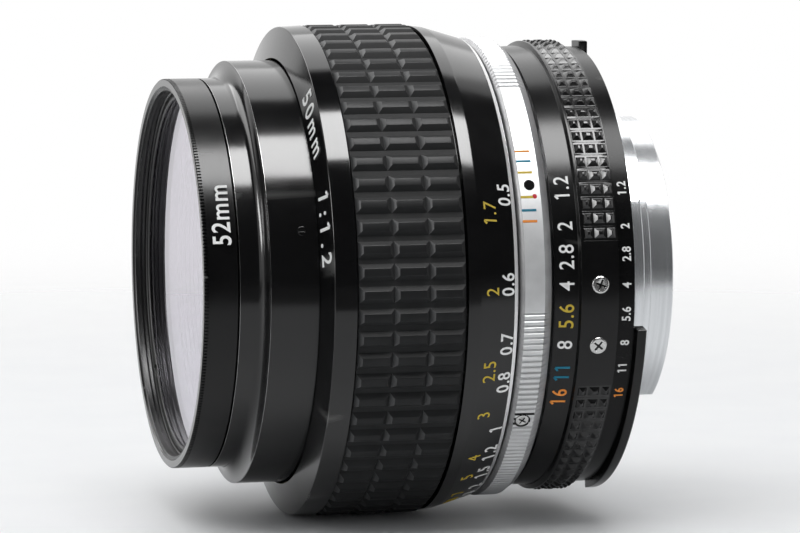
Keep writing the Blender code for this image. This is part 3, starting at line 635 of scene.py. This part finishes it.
def make_focus_ring():
    """The focus ring: name bevel, gloss band, the rubber's seat and the skirt, whose rear edge is bright."""
    outside = [*NAME_BEVEL, (34.0, 42.82), (34.15, 39.84), (32.75, 39.84), (32.75, 24.53), (33.95, 24.53)]
    outside += [(33.76, 22.9), (33.68, 22.6), (32.24, 17.76), (32.19, 17.71), (31.93, 17.18), (30.9, 17.18)]
    inside = [(30.9, 20.58), (31.6, 21.73), (31.6, 41.76), (29.67, 41.76)]
    piece = turned("focus_ring", outside + inside, 192)
    soften(piece, 0.06)

    def choose(face):
        place, radius = place_of(face.center), radius_of(face.center)
        if 17.2 < place < 17.73 and radius > 31.9:
            return 2
        return 1 if place > 39.8 and radius > 33.0 else 0

    paint(piece, [BARREL_BLACK, GLOSS_BLACK, TURNED_ALLOY], choose)
    fit(piece, "focus_ring", "black_alloy", "focus_ring")


PAD_ROWS = 70
PAD_COLUMNS = 3
RUBBER_PLACES = (24.83, 39.54)


def make_rubber_grip():
    """The rubber sleeve: three columns of raised pads in seventy rows, with flat valleys between the rows."""
    back, front = RUBBER_PLACES
    step = (front - back) / PAD_COLUMNS
    section = [(33.55, back + step * column) for column in range(PAD_COLUMNS + 1)]
    section += [(33.05, front), (33.05, back)]
    piece = turned("rubber_grip", section, PAD_ROWS, 180 / PAD_ROWS)
    pick_edges(piece, lambda one, two: along_axis(one, two) and radius_of(one) > 33.5)
    bpy.ops.mesh.bevel(offset=0.37 * MM, offset_type="OFFSET", segments=1, affect="EDGES")
    bpy.ops.object.mode_set(mode="OBJECT")

    def is_pad(face):
        return face.area > 7 * MM * MM and radius_of(face.center) > 33.3 and abs(face.normal.x) < 0.5

    pick_faces(piece, is_pad)
    bpy.ops.mesh.inset(thickness=0.63 * MM, depth=0.68 * MM, use_individual=True)
    bpy.ops.mesh.bevel(offset=0.1 * MM, offset_type="OFFSET", segments=2, affect="EDGES")
    bpy.ops.object.mode_set(mode="OBJECT")
    soften(piece, 0.0)

    # The left-facing slopes get the paler rubber as a painted highlight.
    def choose(face):
        if face.normal.x < -0.3:
            return 2
        return 1 if radius_of(face.center) < 34.0 else 0

    paint(piece, [GRIP_RUBBER, GRIP_VALLEY, GRIP_LIT_SLOPE], choose)
    fit(piece, "focus_ring", "grip_rubber", "rubber_grip")


# Index ring

RIBS = 240
SMOOTH_TURNS = (-5.6, 55.5)
RIB_SINK = 0.9925
INDEX_SCREW = (32.1, 15.1, -35.15)


def make_index_ring():
    """The satin index ring: fine ribs all round it but for the smooth stretch that carries the marks."""
    section = [(31.625, 16.88), (INDEX_RADIUS, 16.305), (INDEX_RADIUS, 13.53)]
    section += [(31.35, 12.38), (29.9, 12.38), (29.9, 16.88)]
    piece = turned("index_ring", section, 4 * RIBS)
    pitch = 360 / RIBS

    def in_rib(point):
        turn = turn_of(point)
        ribbed = not SMOOTH_TURNS[0] < turn < SMOOTH_TURNS[1]
        return ribbed and abs((turn + pitch / 2) % pitch - pitch / 2) < pitch / 16

    pick_edges(piece, lambda one, two: along_axis(one, two) and radius_of(one) > 32.1 and in_rib(one))
    bpy.ops.transform.resize(value=(1, RIB_SINK, RIB_SINK), center_override=(0, 0, 0))
    bpy.ops.object.mode_set(mode="OBJECT")
    bore = disc("screw_bore", 1.12, 1.0, (0, 0, 0))
    carry(bore, facing(*INDEX_SCREW))
    cut(piece, bore)
    soften(piece, 0.04, 1, 40)
    middle = lens_point(*INDEX_SCREW)

    def choose(face):
        # The bore's walls are painted black: painted shade.
        if (face.center - middle).length < 1.25 * MM and radius_of(face.center) < 32.15:
            return 2
        # Faces that face along the axis get the darker silver: painted shade.
        return 1 if abs(face.normal.x) > 0.3 else 0

    paint(piece, [SATIN_SILVER, SHADED_CHAMFER_SILVER, INNER_BLACK_AND_SHADE], choose)
    fit(piece, "barrel", "satin_alloy", "index_ring")


# Aperture ring

KNURL_ROWS = 96
PATCH_ROWS = 10
PATCH_TOP = 11.57
ROW_COUNT = KNURL_ROWS - PATCH_ROWS
ROW_PITCH = 360 / KNURL_ROWS
KNURL_FLOOR = 31.25
KNURL_PLACES = (3.1, 7.8)
KNURL_GROOVES = (4.5, 6.3)
LIT_SLOPE_TURNS = (PATCH_TOP, 33)


def make_knurl():
    """The waffle: a row of three raised blocks, copied round the ring from the smooth patch back to it."""
    piece = box("knurl_row", (30.8, KNURL_FLOOR), KNURL_PLACES, 2 * math.pi * KNURL_FLOOR / KNURL_ROWS)
    for place in KNURL_GROOVES:
        bpy.ops.object.mode_set(mode="EDIT")
        bpy.ops.mesh.select_all(action="SELECT")
        bpy.ops.mesh.bisect(plane_co=lens_point(0, place), plane_no=AXIS)
        bpy.ops.object.mode_set(mode="OBJECT")
    pick_faces(piece, lambda face: face.normal.y < -0.9)
    bpy.ops.mesh.inset(thickness=0.13 * MM, depth=0.0, use_individual=True)
    bpy.ops.transform.resize(value=(1, 1, 0.76), center_override=(0, 0, 0))
    bpy.ops.mesh.inset(thickness=0.5 * MM, depth=0.49 * MM, use_individual=True)
    bpy.ops.transform.resize(value=(1, 1, 1.4), center_override=(0, 0, 0))
    bpy.ops.object.mode_set(mode="OBJECT")
    turn_to(piece, PATCH_TOP + ROW_PITCH / 2)
    bpy.ops.object.mode_set(mode="EDIT")
    bpy.ops.mesh.select_all(action="SELECT")
    repeat_round(ROW_COUNT, ROW_PITCH)
    bpy.ops.object.mode_set(mode="OBJECT")
    soften(piece, 0.04, 2, 30)

    # Painted highlight: bare metal on the left-facing slopes of the middle and right columns, in the band of
    # turns above the patch where the light from the left catches them.
    def worn(face):
        above_patch = LIT_SLOPE_TURNS[0] < turn_of(face.center) < LIT_SLOPE_TURNS[1]
        return above_patch and face.normal.x < -0.5 and place_of(face.center) < 6.2

    paint(piece, [KNURL_BLACK, WORN_EDGE_AND_HIGHLIGHT], worn)
    return piece


def make_aperture_ring():
    """The aperture ring: two numbered bands, the knurl, a smooth patch, and the ridge and post behind."""
    section = [(28.9, 0.52), (30.72, 0.52), (30.72, 2.8), (31.55, 2.98), (31.6, 8.22)]
    section += [(30.97, 8.45), (30.8, 11.78), (28.9, 11.78)]
    ring = turned("aperture_ring", section, 192)
    channel = [(31.2, 2.4), (31.2, 7.8), (32.4, 7.8), (32.4, 2.4)]
    cut(ring, swept("knurl_channel", channel, PATCH_TOP, ROW_COUNT * ROW_PITCH, ROW_COUNT))
    soften(ring, 0.06)
    pieces = [ring, make_knurl()]
    paint(ring, [RING_BLACK, BAND_BLACK], lambda face: place_of(face.center) < 2.78)
    foot = [(29.55, 1.87), (30.2, 1.87), (30.2, 0.22)]
    ridge = [(31.7, 0.22), (31.7, -0.98), (31.55, -1.13), (29.55, -1.13)] + foot
    post = [(31.58, 0.22), (31.58, -0.85), (31.45, -0.98), (29.55, -0.98)] + foot
    bars = (("meter_ridge", ridge, -81, 70, 48), ("ring_post", post, 88, 7.5, 8))
    for name, bar, start, sweep, steps in bars:
        piece = swept(name, bar, start, sweep, steps)
        soften(piece, 0.25, 3)
        paint(piece, [RING_BLACK])
        pieces.append(piece)
    fit(joined("aperture_ring", pieces), "aperture_ring", "black_alloy", "aperture_ring")


# Bayonet mount

LUG_TURNS = (-1, 119, 239)
LUG_SWEEP = 58


def make_bayonet():
    """The chromed bayonet: flange, throat, three lugs, a notched tail and the lock's notch."""
    section = [(28.3, 1.3), (28.3, 0.15), (28.15, 0), (22.3, 0), (22.3, -0.15), (21.9, -0.25), (21.9, -4.3)]
    section += [(21.75, -4.45), (20.7, -4.45), (20.7, -7.8), (20.55, -7.95), (19.85, -7.95), (19.7, -7.8)]
    section += [(19.7, 1.3)]
    piece = turned("bayonet_mount", section, 192)
    notch = swept("tail_notch", [(18.5, -4.75), (22.2, -4.75), (22.2, -8.4), (18.5, -8.4)], 228, 74, 40)
    cut(piece, notch, box("lock_notch", (25.7, 29.5), (-0.8, 2.0), 3.0, -64))
    soften(piece, 0.06)
    pieces = [piece]
    lug = [(21.6, -1.45), (23.3, -1.45), (23.5, -1.65), (23.5, -2.85), (23.3, -3.05), (21.6, -3.05)]
    for angle in LUG_TURNS:
        lug_piece = swept("lug", lug, angle - LUG_SWEEP / 2, LUG_SWEEP, 36)
        soften(lug_piece, 0.12, 2)
        pieces.append(lug_piece)
    for part in pieces:
        paint(part, [MOUNT_CHROME])
    fit(joined("bayonet_mount", pieces), "barrel", "mount_chrome", "bayonet_mount")


MOUNT_SCREWS = 5


def cross_screw(name, head, depth):
    """A cross-head screw that faces the viewer, with its head's outer face on the plane through the axis."""
    piece = disc(name, head, depth, (0, depth / 2 * MM, 0))
    pick_faces(piece, lambda face: face.normal.y < -0.9)
    bpy.ops.mesh.inset(thickness=head * 0.16 * MM, depth=head * 0.1 * MM)
    bpy.ops.object.mode_set(mode="OBJECT")
    for width, length in ((0.2, 1.25), (1.25, 0.2)):
        size = (head * length * MM, 0.5 * MM, head * width * MM)
        bpy.ops.object.select_all(action="DESELECT")
        bpy.ops.mesh.primitive_cube_add(size=1, location=(0, 0, 0), scale=size)
        cut(piece, settle("cross_blade"))
    soften(piece, 0.05)
    recess = head * 0.66 * MM

    # The cross recess is painted black: painted shade.
    def in_recess(face):
        return face.center.y > 0.02 * MM and math.hypot(face.center.x, face.center.z) < recess

    paint(piece, [SCREW_STEEL, THREAD_BLACK_AND_SHADE], in_recess)
    return piece


def seat_screw(piece, spin, place):
    """Turns a screw about its own axis and carries it to its place, given as a matrix."""
    carry(piece, place @ Matrix.Rotation(math.radians(spin), 4, "Y"))


def make_screws():
    """Two screws in the aperture ring's smooth patch, one in the index ring and five in the bayonet."""
    for number, (turn, spin) in enumerate(((0.7, 20), (-14.7, 38)), 1):
        piece = cross_screw(f"aperture_ring_screw_{number}", 1.2, 0.8)
        seat_screw(piece, spin, facing(31.64, 5.6, turn))
        fit(piece, "aperture_ring", "plain_steel")
    piece = cross_screw("index_ring_screw", 0.95, 0.8)
    seat_screw(piece, 30, facing(*INDEX_SCREW))
    fit(piece, "barrel", "plain_steel")
    for number in range(MOUNT_SCREWS):
        turn = 20 + 360 / MOUNT_SCREWS * number
        piece = cross_screw(f"mount_screw_{number + 1}", 1.3, 0.9)
        rear = Matrix.Translation(lens_point(25.4, -0.02, turn)) @ Matrix.Rotation(math.radians(90), 4, "Z")
        seat_screw(piece, 15 + 40 * number, rear)
        fit(piece, "barrel", "plain_steel")


# Rear of the lens

def make_rear():
    """The rear cell, with the window where the stop-down fork swings, and the ring over the last element."""
    section = [(25.6, 21.38), (25.6, 19.38), (17.7, 19.38), (17.7, -1.2), (17.45, -1.47), (16.7, -1.47)]
    section += [(16.7, 0.739), (16.5, 0.739), (16.5, 7.72), (15.3, 7.72), (15.3, 12.52), (14.5, 12.52)]
    section += [(14.5, 20.78), (13.5, 20.78), (13.5, 21.38)]
    piece = turned("rear_cell", section, 96)
    window = [(22.7, 19.0), (22.7, 21.8), (24.3, 21.8), (24.3, 19.0)]
    cut(piece, swept("fork_window", window, 241.8, 30.4, 16))
    soften(piece, 0.06)
    paint(piece, [INNER_BLACK_AND_SHADE])
    fit(piece, "lens_unit", "matt_black_alloy", "rear_cell")
    ring = [(15.5, -1.07), (16.4, -1.07), (16.4, -1.47), (15.8, -1.47), (15.5, -1.25)]
    piece = turned("rear_retainer", ring, 128)
    soften(piece, 0.04)
    paint(piece, [THREAD_BLACK_AND_SHADE])
    fit(piece, "lens_unit", "black_alloy", "rear_retainer")


# Numbers and marks

# The width that a character takes, as a share of its height; a figure's height, as a share of the font's
# size; and how much the figures are narrowed on the lens
ADVANCE = {".": 0.36, ":": 0.4, "m": 1.12}
FIGURE_ADVANCE = 0.76
FIGURE_HEIGHT = 0.729
NARROWING = 0.9


def lettering(word, height, weight, spacing=1.0):
    """A word of painted characters, flat on the ground at the origin, each set at its own advance."""
    steps = [ADVANCE.get(letter, FIGURE_ADVANCE) * height * spacing for letter in word]
    start = -sum(steps) / 2
    pieces = []
    for letter, step in zip(word, steps):
        bpy.ops.object.select_all(action="DESELECT")
        bpy.ops.object.text_add(location=((start + step / 2) * MM, -height / 2 * MM, 0))
        text = bpy.context.object.data
        text.body = letter
        text.align_x = "CENTER"
        text.size = height * MM / FIGURE_HEIGHT
        text.offset = weight * text.size
        text.extrude = 0.03 * MM
        text.resolution_u = 4
        bpy.ops.object.convert(target="MESH")
        pieces.append(bpy.context.object)
        # The figure 1 gets a flag at its top
        if letter == "1":
            spot = ((start + step / 2 - 0.13 * height) * MM, 0.36 * height * MM, 0)
            size = (0.3 * height * MM, 0.14 * height * MM, 0.06 * MM)
            lean = (0, 0, math.radians(38))
            bpy.ops.mesh.primitive_cube_add(size=1, location=spot, rotation=lean, scale=size)
            pieces.append(bpy.context.object)
        start += step
    piece = joined("lettering", pieces)
    put_into_mesh()
    return piece


def lay(piece, across, up, normal, spot):
    """Carries lettering from the ground to a wall, given by its reading direction, upright and normal."""
    place = Matrix((across, up, normal)).transposed().to_4x4()
    place.translation = spot + normal * 0.015 * MM
    carry(piece, place)
    return piece


def axes(turn):
    """The directions upwards round the lens, forwards along it and outwards from it."""
    angle = math.radians(turn)
    outward = Vector((0, -math.cos(angle), math.sin(angle)))
    return Vector((0, math.sin(angle), math.cos(angle))), Vector((-1, 0, 0)), outward


def painted_number(word, height, radius, place, turn, slope=0.0, weight=0.012):
    """A painted number that reads upwards round the lens, on a wall that widens forwards by slope degrees."""
    across, forward, outward = axes(turn)
    tilt = math.radians(slope)
    up = forward * math.cos(tilt) + outward * math.sin(tilt)
    normal = outward * math.cos(tilt) - forward * math.sin(tilt)
    spot = lens_point(radius, place, turn)
    return lay(lettering(word, height, weight), across * NARROWING, up, normal, spot)


def bevel_word(word, height, turn, spacing):
    """A painted word on the name bevel, which reads upright from the front."""
    across, forward, outward = axes(turn)
    (inner, front), (outer, back) = NAME_BEVEL
    normal = (forward * (outer - inner) + outward * (front - back)).normalized()
    up = (outward * (outer - inner) - forward * (front - back)).normalized()
    spot = lens_point(*BEVEL_WORDS, turn)
    return lay(lettering(word, height, 0.01, spacing), -across * NARROWING, up, normal, spot)


def set_of_numbers(name, body, slot, material, pieces):
    """Joins numbers or marks of one paint into one piece."""
    piece = joined(name, pieces)
    paint(piece, [material])
    fit(piece, body, slot)


# The words of each scale, with their turns
STOPS = (
    ("1.2", 25.45), ("2", 15.57), ("2.8", 7.76), ("4", 0.5), ("5.6", -7.25), ("8", -14.74),
    ("11", -22.39), ("16", -29.77),
)
SMALL_STOPS = (
    ("1.2", 25.2), ("2", 15.3), ("2.8", 8.2), ("4", 0.3), ("5.6", -7.1), ("8", -14.7),
    ("11", -21.7), ("16", -29.2),
)
METRES = (
    ("0.5", 23.0), ("0.6", 1.5), ("0.7", -12.95), ("0.8", -23.0), ("1", -36.9), ("1.2", -45.7),
    ("1.5", -54.5), ("2", -63.2), ("3", -69.5), ("5", -75.0),
)
FEET = (
    ("1.7", 18.3), ("2", -0.05), ("2.5", -19.4), ("3", -31.5), ("4", -46.0), ("5", -54.6),
    ("7", -65.0), ("10", -72.0),
)
STOP_PAINTS = {"5.6": YELLOW_PAINT, "11": BLUE_PAINT, "16": ORANGE_PAINT}
SMALL_STOP_PAINTS = {"16": ORANGE_PAINT}
SKIRT_SLOPE = 16.5
BAND_SLOPE = -2.9


def make_numbers():
    """The two rows of stops, the distances in metres and feet, the focal length and the filter's size."""
    groups = {}
    for word, turn in STOPS:
        piece = painted_number(word, 2.15, 30.88, 10.2, turn, BAND_SLOPE, 0.006)
        groups.setdefault(STOP_PAINTS.get(word, WHITE_PAINT), []).append(piece)
    for word, turn in SMALL_STOPS:
        piece = painted_number(word, 1.25, 30.72, 1.7, turn, weight=0.02)
        groups.setdefault(SMALL_STOP_PAINTS.get(word, WHITE_PAINT), []).append(piece)
    for material, pieces in groups.items():
        name = "stops_" + material.name.split("_")[0]
        set_of_numbers(name, "aperture_ring", "black_alloy", material, pieces)
    pieces = [painted_number(word, 1.95, 32.55, 18.8, turn, SKIRT_SLOPE) for word, turn in METRES]
    set_of_numbers("metres", "focus_ring", "black_alloy", WHITE_PAINT, pieces)
    pieces = [painted_number(word, 2.0, 33.23, 21.1, turn, SKIRT_SLOPE, 0.0) for word, turn in FEET]
    set_of_numbers("feet", "focus_ring", "black_alloy", YELLOW_PAINT, pieces)
    pieces = [bevel_word("50mm", 2.9, 44.4, 1.16), bevel_word("1:1.2", 3.0, 16.0, 1.36)]
    set_of_numbers("focal_length", "focus_ring", "black_alloy", WHITE_PAINT, pieces)
    pieces = [painted_number("52mm", 2.6, FILTER_RADIUS, 56.7, 22.5)]
    set_of_numbers("filter_size", "filter", "black_brass", WHITE_PAINT, pieces)


def mark(turn):
    """A painted line along the axis, sunk all but a hair into the index ring."""
    return box("line", (INDEX_RADIUS - 0.1, INDEX_RADIUS + 0.025), (14.3, 16.33), 0.34, turn)


def dot(name, size, place, turn, rise):
    """A painted dot that stands out from the index ring by its rise."""
    depth = 0.3
    piece = disc(name, size / 2, depth, lens_point(INDEX_RADIUS - depth / 2 + rise, place))
    turn_to(piece, turn)
    soften(piece, 0.08, 3)
    return piece


def make_marks():
    """The depth-of-field lines in three colours, the index dot and the dot for infrared light."""
    lines = ((ORANGE_PAINT, (34.5, 16.5)), (BLUE_PAINT, (31.8, 19.2)), (YELLOW_PAINT, (28.8, 22.5)))
    for material, turns in lines:
        pieces = [mark(turn) for turn in turns]
        name = "depth_lines_" + material.name.split("_")[0]
        set_of_numbers(name, "barrel", "satin_alloy", material, pieces)
    piece = dot("index_dot", 1.55, 14.95, 25.55, 0.04)
    paint(piece, [BLACK_PAINT])
    fit(piece, "barrel", "black_alloy")
    piece = dot("infrared_dot", 0.7, 14.35, 22.65, 0.03)
    paint(piece, [RED_PAINT])
    fit(piece, "barrel", "satin_alloy")


# Solids that stay, with their finishes

BLADES = 9


def dress_solids():
    """Gives the solids inside the lens, which show as they are, their finishes."""
    finishes = (
        (GREY_ALLOY, ["fixed_barrel"]),
        (BARE_BRASS, ["lens_carrier", "focus_helicoid"]),
        (PLAIN_STEEL, ["guide_key_1", "guide_key_2", "aperture_key", "iris_drive_ring", "stop_down_ring"]),
        (INNER_BLACK_AND_SHADE, ["iris_plate", "iris_housing", "rear_baffle"]),
        (BLADE_STEEL, [f"iris_blade_{blade}" for blade in range(1, BLADES + 1)]),
    )
    for material, nodes in finishes:
        for node in nodes:
            paint(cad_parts[node], [material])


# Floor, light and camera

FLOOR_FADE = (0.58, 0.92)


def make_floor():
    """A pale sheet that fades into the white of the background some way from the lens."""
    bpy.ops.object.select_all(action="DESELECT")
    bpy.ops.mesh.primitive_grid_add(x_subdivisions=8, y_subdivisions=8, size=4, location=(0, 0, FLOOR * MM))
    floor = bpy.context.object
    floor.name = "floor"
    bpy.ops.object.transform_apply(location=True, rotation=True, scale=True)
    material, nodes, links, shader = blank("floor_sheet", 0.5)
    fibres = grain(nodes, links, 60, detail=5)
    sheet = ramp(nodes, links, fibres, (0.86, 0.865, 0.875), (0.88, 0.885, 0.89))
    links.new(sheet, shader.inputs["Base Color"])
    place = nodes.new("ShaderNodeTexCoord")
    mapping = nodes.new("ShaderNodeMapping")
    mapping.inputs["Location"].default_value = (0.03, 0.0, 0.034)
    fade = nodes.new("ShaderNodeTexGradient")
    fade.gradient_type = "SPHERICAL"
    links.new(place.outputs["Object"], mapping.inputs["Vector"])
    links.new(mapping.outputs["Vector"], fade.inputs["Vector"])
    share = nodes.new("ShaderNodeMapRange")
    share.interpolation_type = "SMOOTHERSTEP"
    share.inputs["From Min"].default_value, share.inputs["From Max"].default_value = FLOOR_FADE
    links.new(fade.outputs["Fac"], share.inputs["Value"])
    clear = nodes.new("ShaderNodeBsdfTransparent")
    mix = nodes.new("ShaderNodeMixShader")
    links.new(share.outputs["Result"], mix.inputs["Fac"])
    links.new(clear.outputs["BSDF"], mix.inputs[1])
    links.new(shader.outputs["BSDF"], mix.inputs[2])
    links.new(mix.outputs["Shader"], nodes["Material Output"].inputs["Surface"])
    floor.data.materials.append(material)


FLAG_LEFT, FLAG_WIDTH = -1.1, 4.2
FLAG_REACH = 1.2
FLAG_BEND = 110


def make_flags():
    """Two dark cloths for gloss and glass alone: one from the table up and over, one behind at the left."""
    table = FLOOR * MM + 0.002
    path = [(-0.165, table), (-FLAG_REACH, table)]
    for step in range(1, ARC_STEPS + 1):
        angle = math.radians(FLAG_BEND * step / ARC_STEPS)
        path.append((-FLAG_REACH * math.cos(angle), FLAG_REACH * math.sin(angle)))
    flag = draw_path("dark_flag", [Vector((FLAG_LEFT, depth, height)) for depth, height in path])
    bpy.ops.mesh.select_all(action="SELECT")
    bpy.ops.mesh.extrude_region_move(TRANSFORM_OT_translate={"value": (FLAG_WIDTH, 0, 0)})
    bpy.ops.object.mode_set(mode="OBJECT")
    material, nodes, links, shader = blank("flag_cloth", 1.0)
    shader.inputs["Base Color"].default_value = (0.02, 0.02, 0.02, 1.0)
    weave = grain(nodes, links, 40)
    glow = ramp(nodes, links, weave, (0.028, 0.028, 0.029), (0.036, 0.036, 0.037))
    links.new(glow, shader.inputs["Emission Color"])
    shader.inputs["Emission Strength"].default_value = 1.0
    bpy.ops.mesh.primitive_grid_add(
        x_subdivisions=4, y_subdivisions=4, size=1, location=(-0.86, 0.72, 0.13),
        rotation=(math.pi / 2, 0, math.radians(55)), scale=(1.3, 0.5, 1),
    )
    side = bpy.context.object
    side.name = "side_flag"
    for cloth in (flag, side):
        cloth.data.materials.append(material)
        cloth.visible_camera = cloth.visible_diffuse = cloth.visible_shadow = False


LENS_MIDDLE = Vector((-0.026, 0.0, 0.01))


def softbox(name, direction, distance, size, radiance):
    """A rectangular lamp that faces the lens from a direction."""
    direction = Vector(direction).normalized()
    bpy.ops.object.light_add(type="AREA", location=LENS_MIDDLE + direction * distance)
    lamp = bpy.context.object
    lamp.name = lamp.data.name = name
    along = Vector((1, 0, 0)) if abs(direction.x) < 0.8 else Vector((0, 1, 0))
    along = (along - direction * along.dot(direction)).normalized()
    lamp.rotation_euler = Matrix((along, direction.cross(along), direction)).transposed().to_euler()
    lamp.data.shape = "RECTANGLE"
    lamp.data.size, lamp.data.size_y = size
    lamp.data.energy = radiance * 4 * size[0] * size[1]
    lamp.visible_camera = False
    return lamp


def make_light():
    """One lamp lights the lens and the floor, five show in gloss only, and the background is plain white."""
    softbox("window_softbox", (0.12, -0.345, 0.93), 0.9, (0.8, 0.41), 12.5).visible_diffuse = False
    softbox("overhead_softbox", (-0.3, -0.15, 0.94), 1.0, (1.2, 0.9), 1.85).visible_glossy = False
    softbox("back_softbox", (0.1, 0.66, 0.75), 1.1, (1.1, 0.75), 1.1).visible_diffuse = False
    softbox("left_softbox", (-0.935, -0.15, 0.31), 1.3, (0.3, 0.42), 13.0).visible_diffuse = False
    softbox("shoulder_softbox", (-0.6, 0.55, 0.58), 1.2, (1.1, 0.8), 2.2).visible_diffuse = False
    softbox("right_softbox", (0.82, 0.57, 0.06), 1.4, (0.28, 0.18), 3.0).visible_diffuse = False
    world = bpy.data.worlds.new("white_studio")
    bpy.context.scene.world = world
    world.use_nodes = True
    nodes, links = world.node_tree.nodes, world.node_tree.links
    fill = nodes["Background"]
    fill.inputs["Color"].default_value = (0.96, 0.98, 1.0, 1.0)
    fill.inputs["Strength"].default_value = 0.42
    white = nodes.new("ShaderNodeBackground")
    white.inputs["Color"].default_value = (1.0, 1.0, 1.0, 1.0)
    white.inputs["Strength"].default_value = 1.0
    path = nodes.new("ShaderNodeLightPath")
    seen = path.outputs["Is Camera Ray"]
    for ray in ("Is Glossy Ray", "Is Transmission Ray"):
        either = nodes.new("ShaderNodeMath")
        either.operation = "MAXIMUM"
        links.new(seen, either.inputs[0])
        links.new(path.outputs[ray], either.inputs[1])
        seen = either.outputs["Value"]
    mix = nodes.new("ShaderNodeMixShader")
    links.new(seen, mix.inputs["Fac"])
    links.new(fill.outputs["Background"], mix.inputs[1])
    links.new(white.outputs["Background"], mix.inputs[2])
    links.new(mix.outputs["Shader"], nodes["World Output"].inputs["Surface"])


CAMERA_AIM = Vector((-0.02587, 0.0, 0.00018))


def make_camera():
    """The camera of the photograph, fitted to the edges of the lens's rings."""
    azimuth, elevation, distance = math.radians(-13.52), math.radians(5.91), 0.681
    level = Vector((math.sin(azimuth), -math.cos(azimuth), 0.0))
    back = level * math.cos(elevation) + Vector((0.0, 0.0, math.sin(elevation)))
    bpy.ops.object.camera_add(location=CAMERA_AIM + back * distance)
    camera = bpy.context.object
    camera.name = camera.data.name = "photo_camera"
    camera.rotation_euler = back.to_track_quat("Z", "Y").to_euler()
    camera.data.sensor_fit = "HORIZONTAL"
    camera.data.sensor_width = 36.0
    camera.data.lens = 218.4
    camera.data.clip_start = 0.02
    bpy.context.scene.camera = camera
    bpy.context.scene.view_settings.view_transform = "Standard"


make_camera()
make_light()
make_floor()
make_flags()
make_filter_ring()
make_filter_glass()
make_filter_retainer()
make_front_barrel()
make_elements()
make_front_cell()
make_set_screw()
make_focus_ring()
make_rubber_grip()
make_index_ring()
make_aperture_ring()
make_bayonet()
make_screws()
make_rear()
make_numbers()
make_marks()
dress_solids()
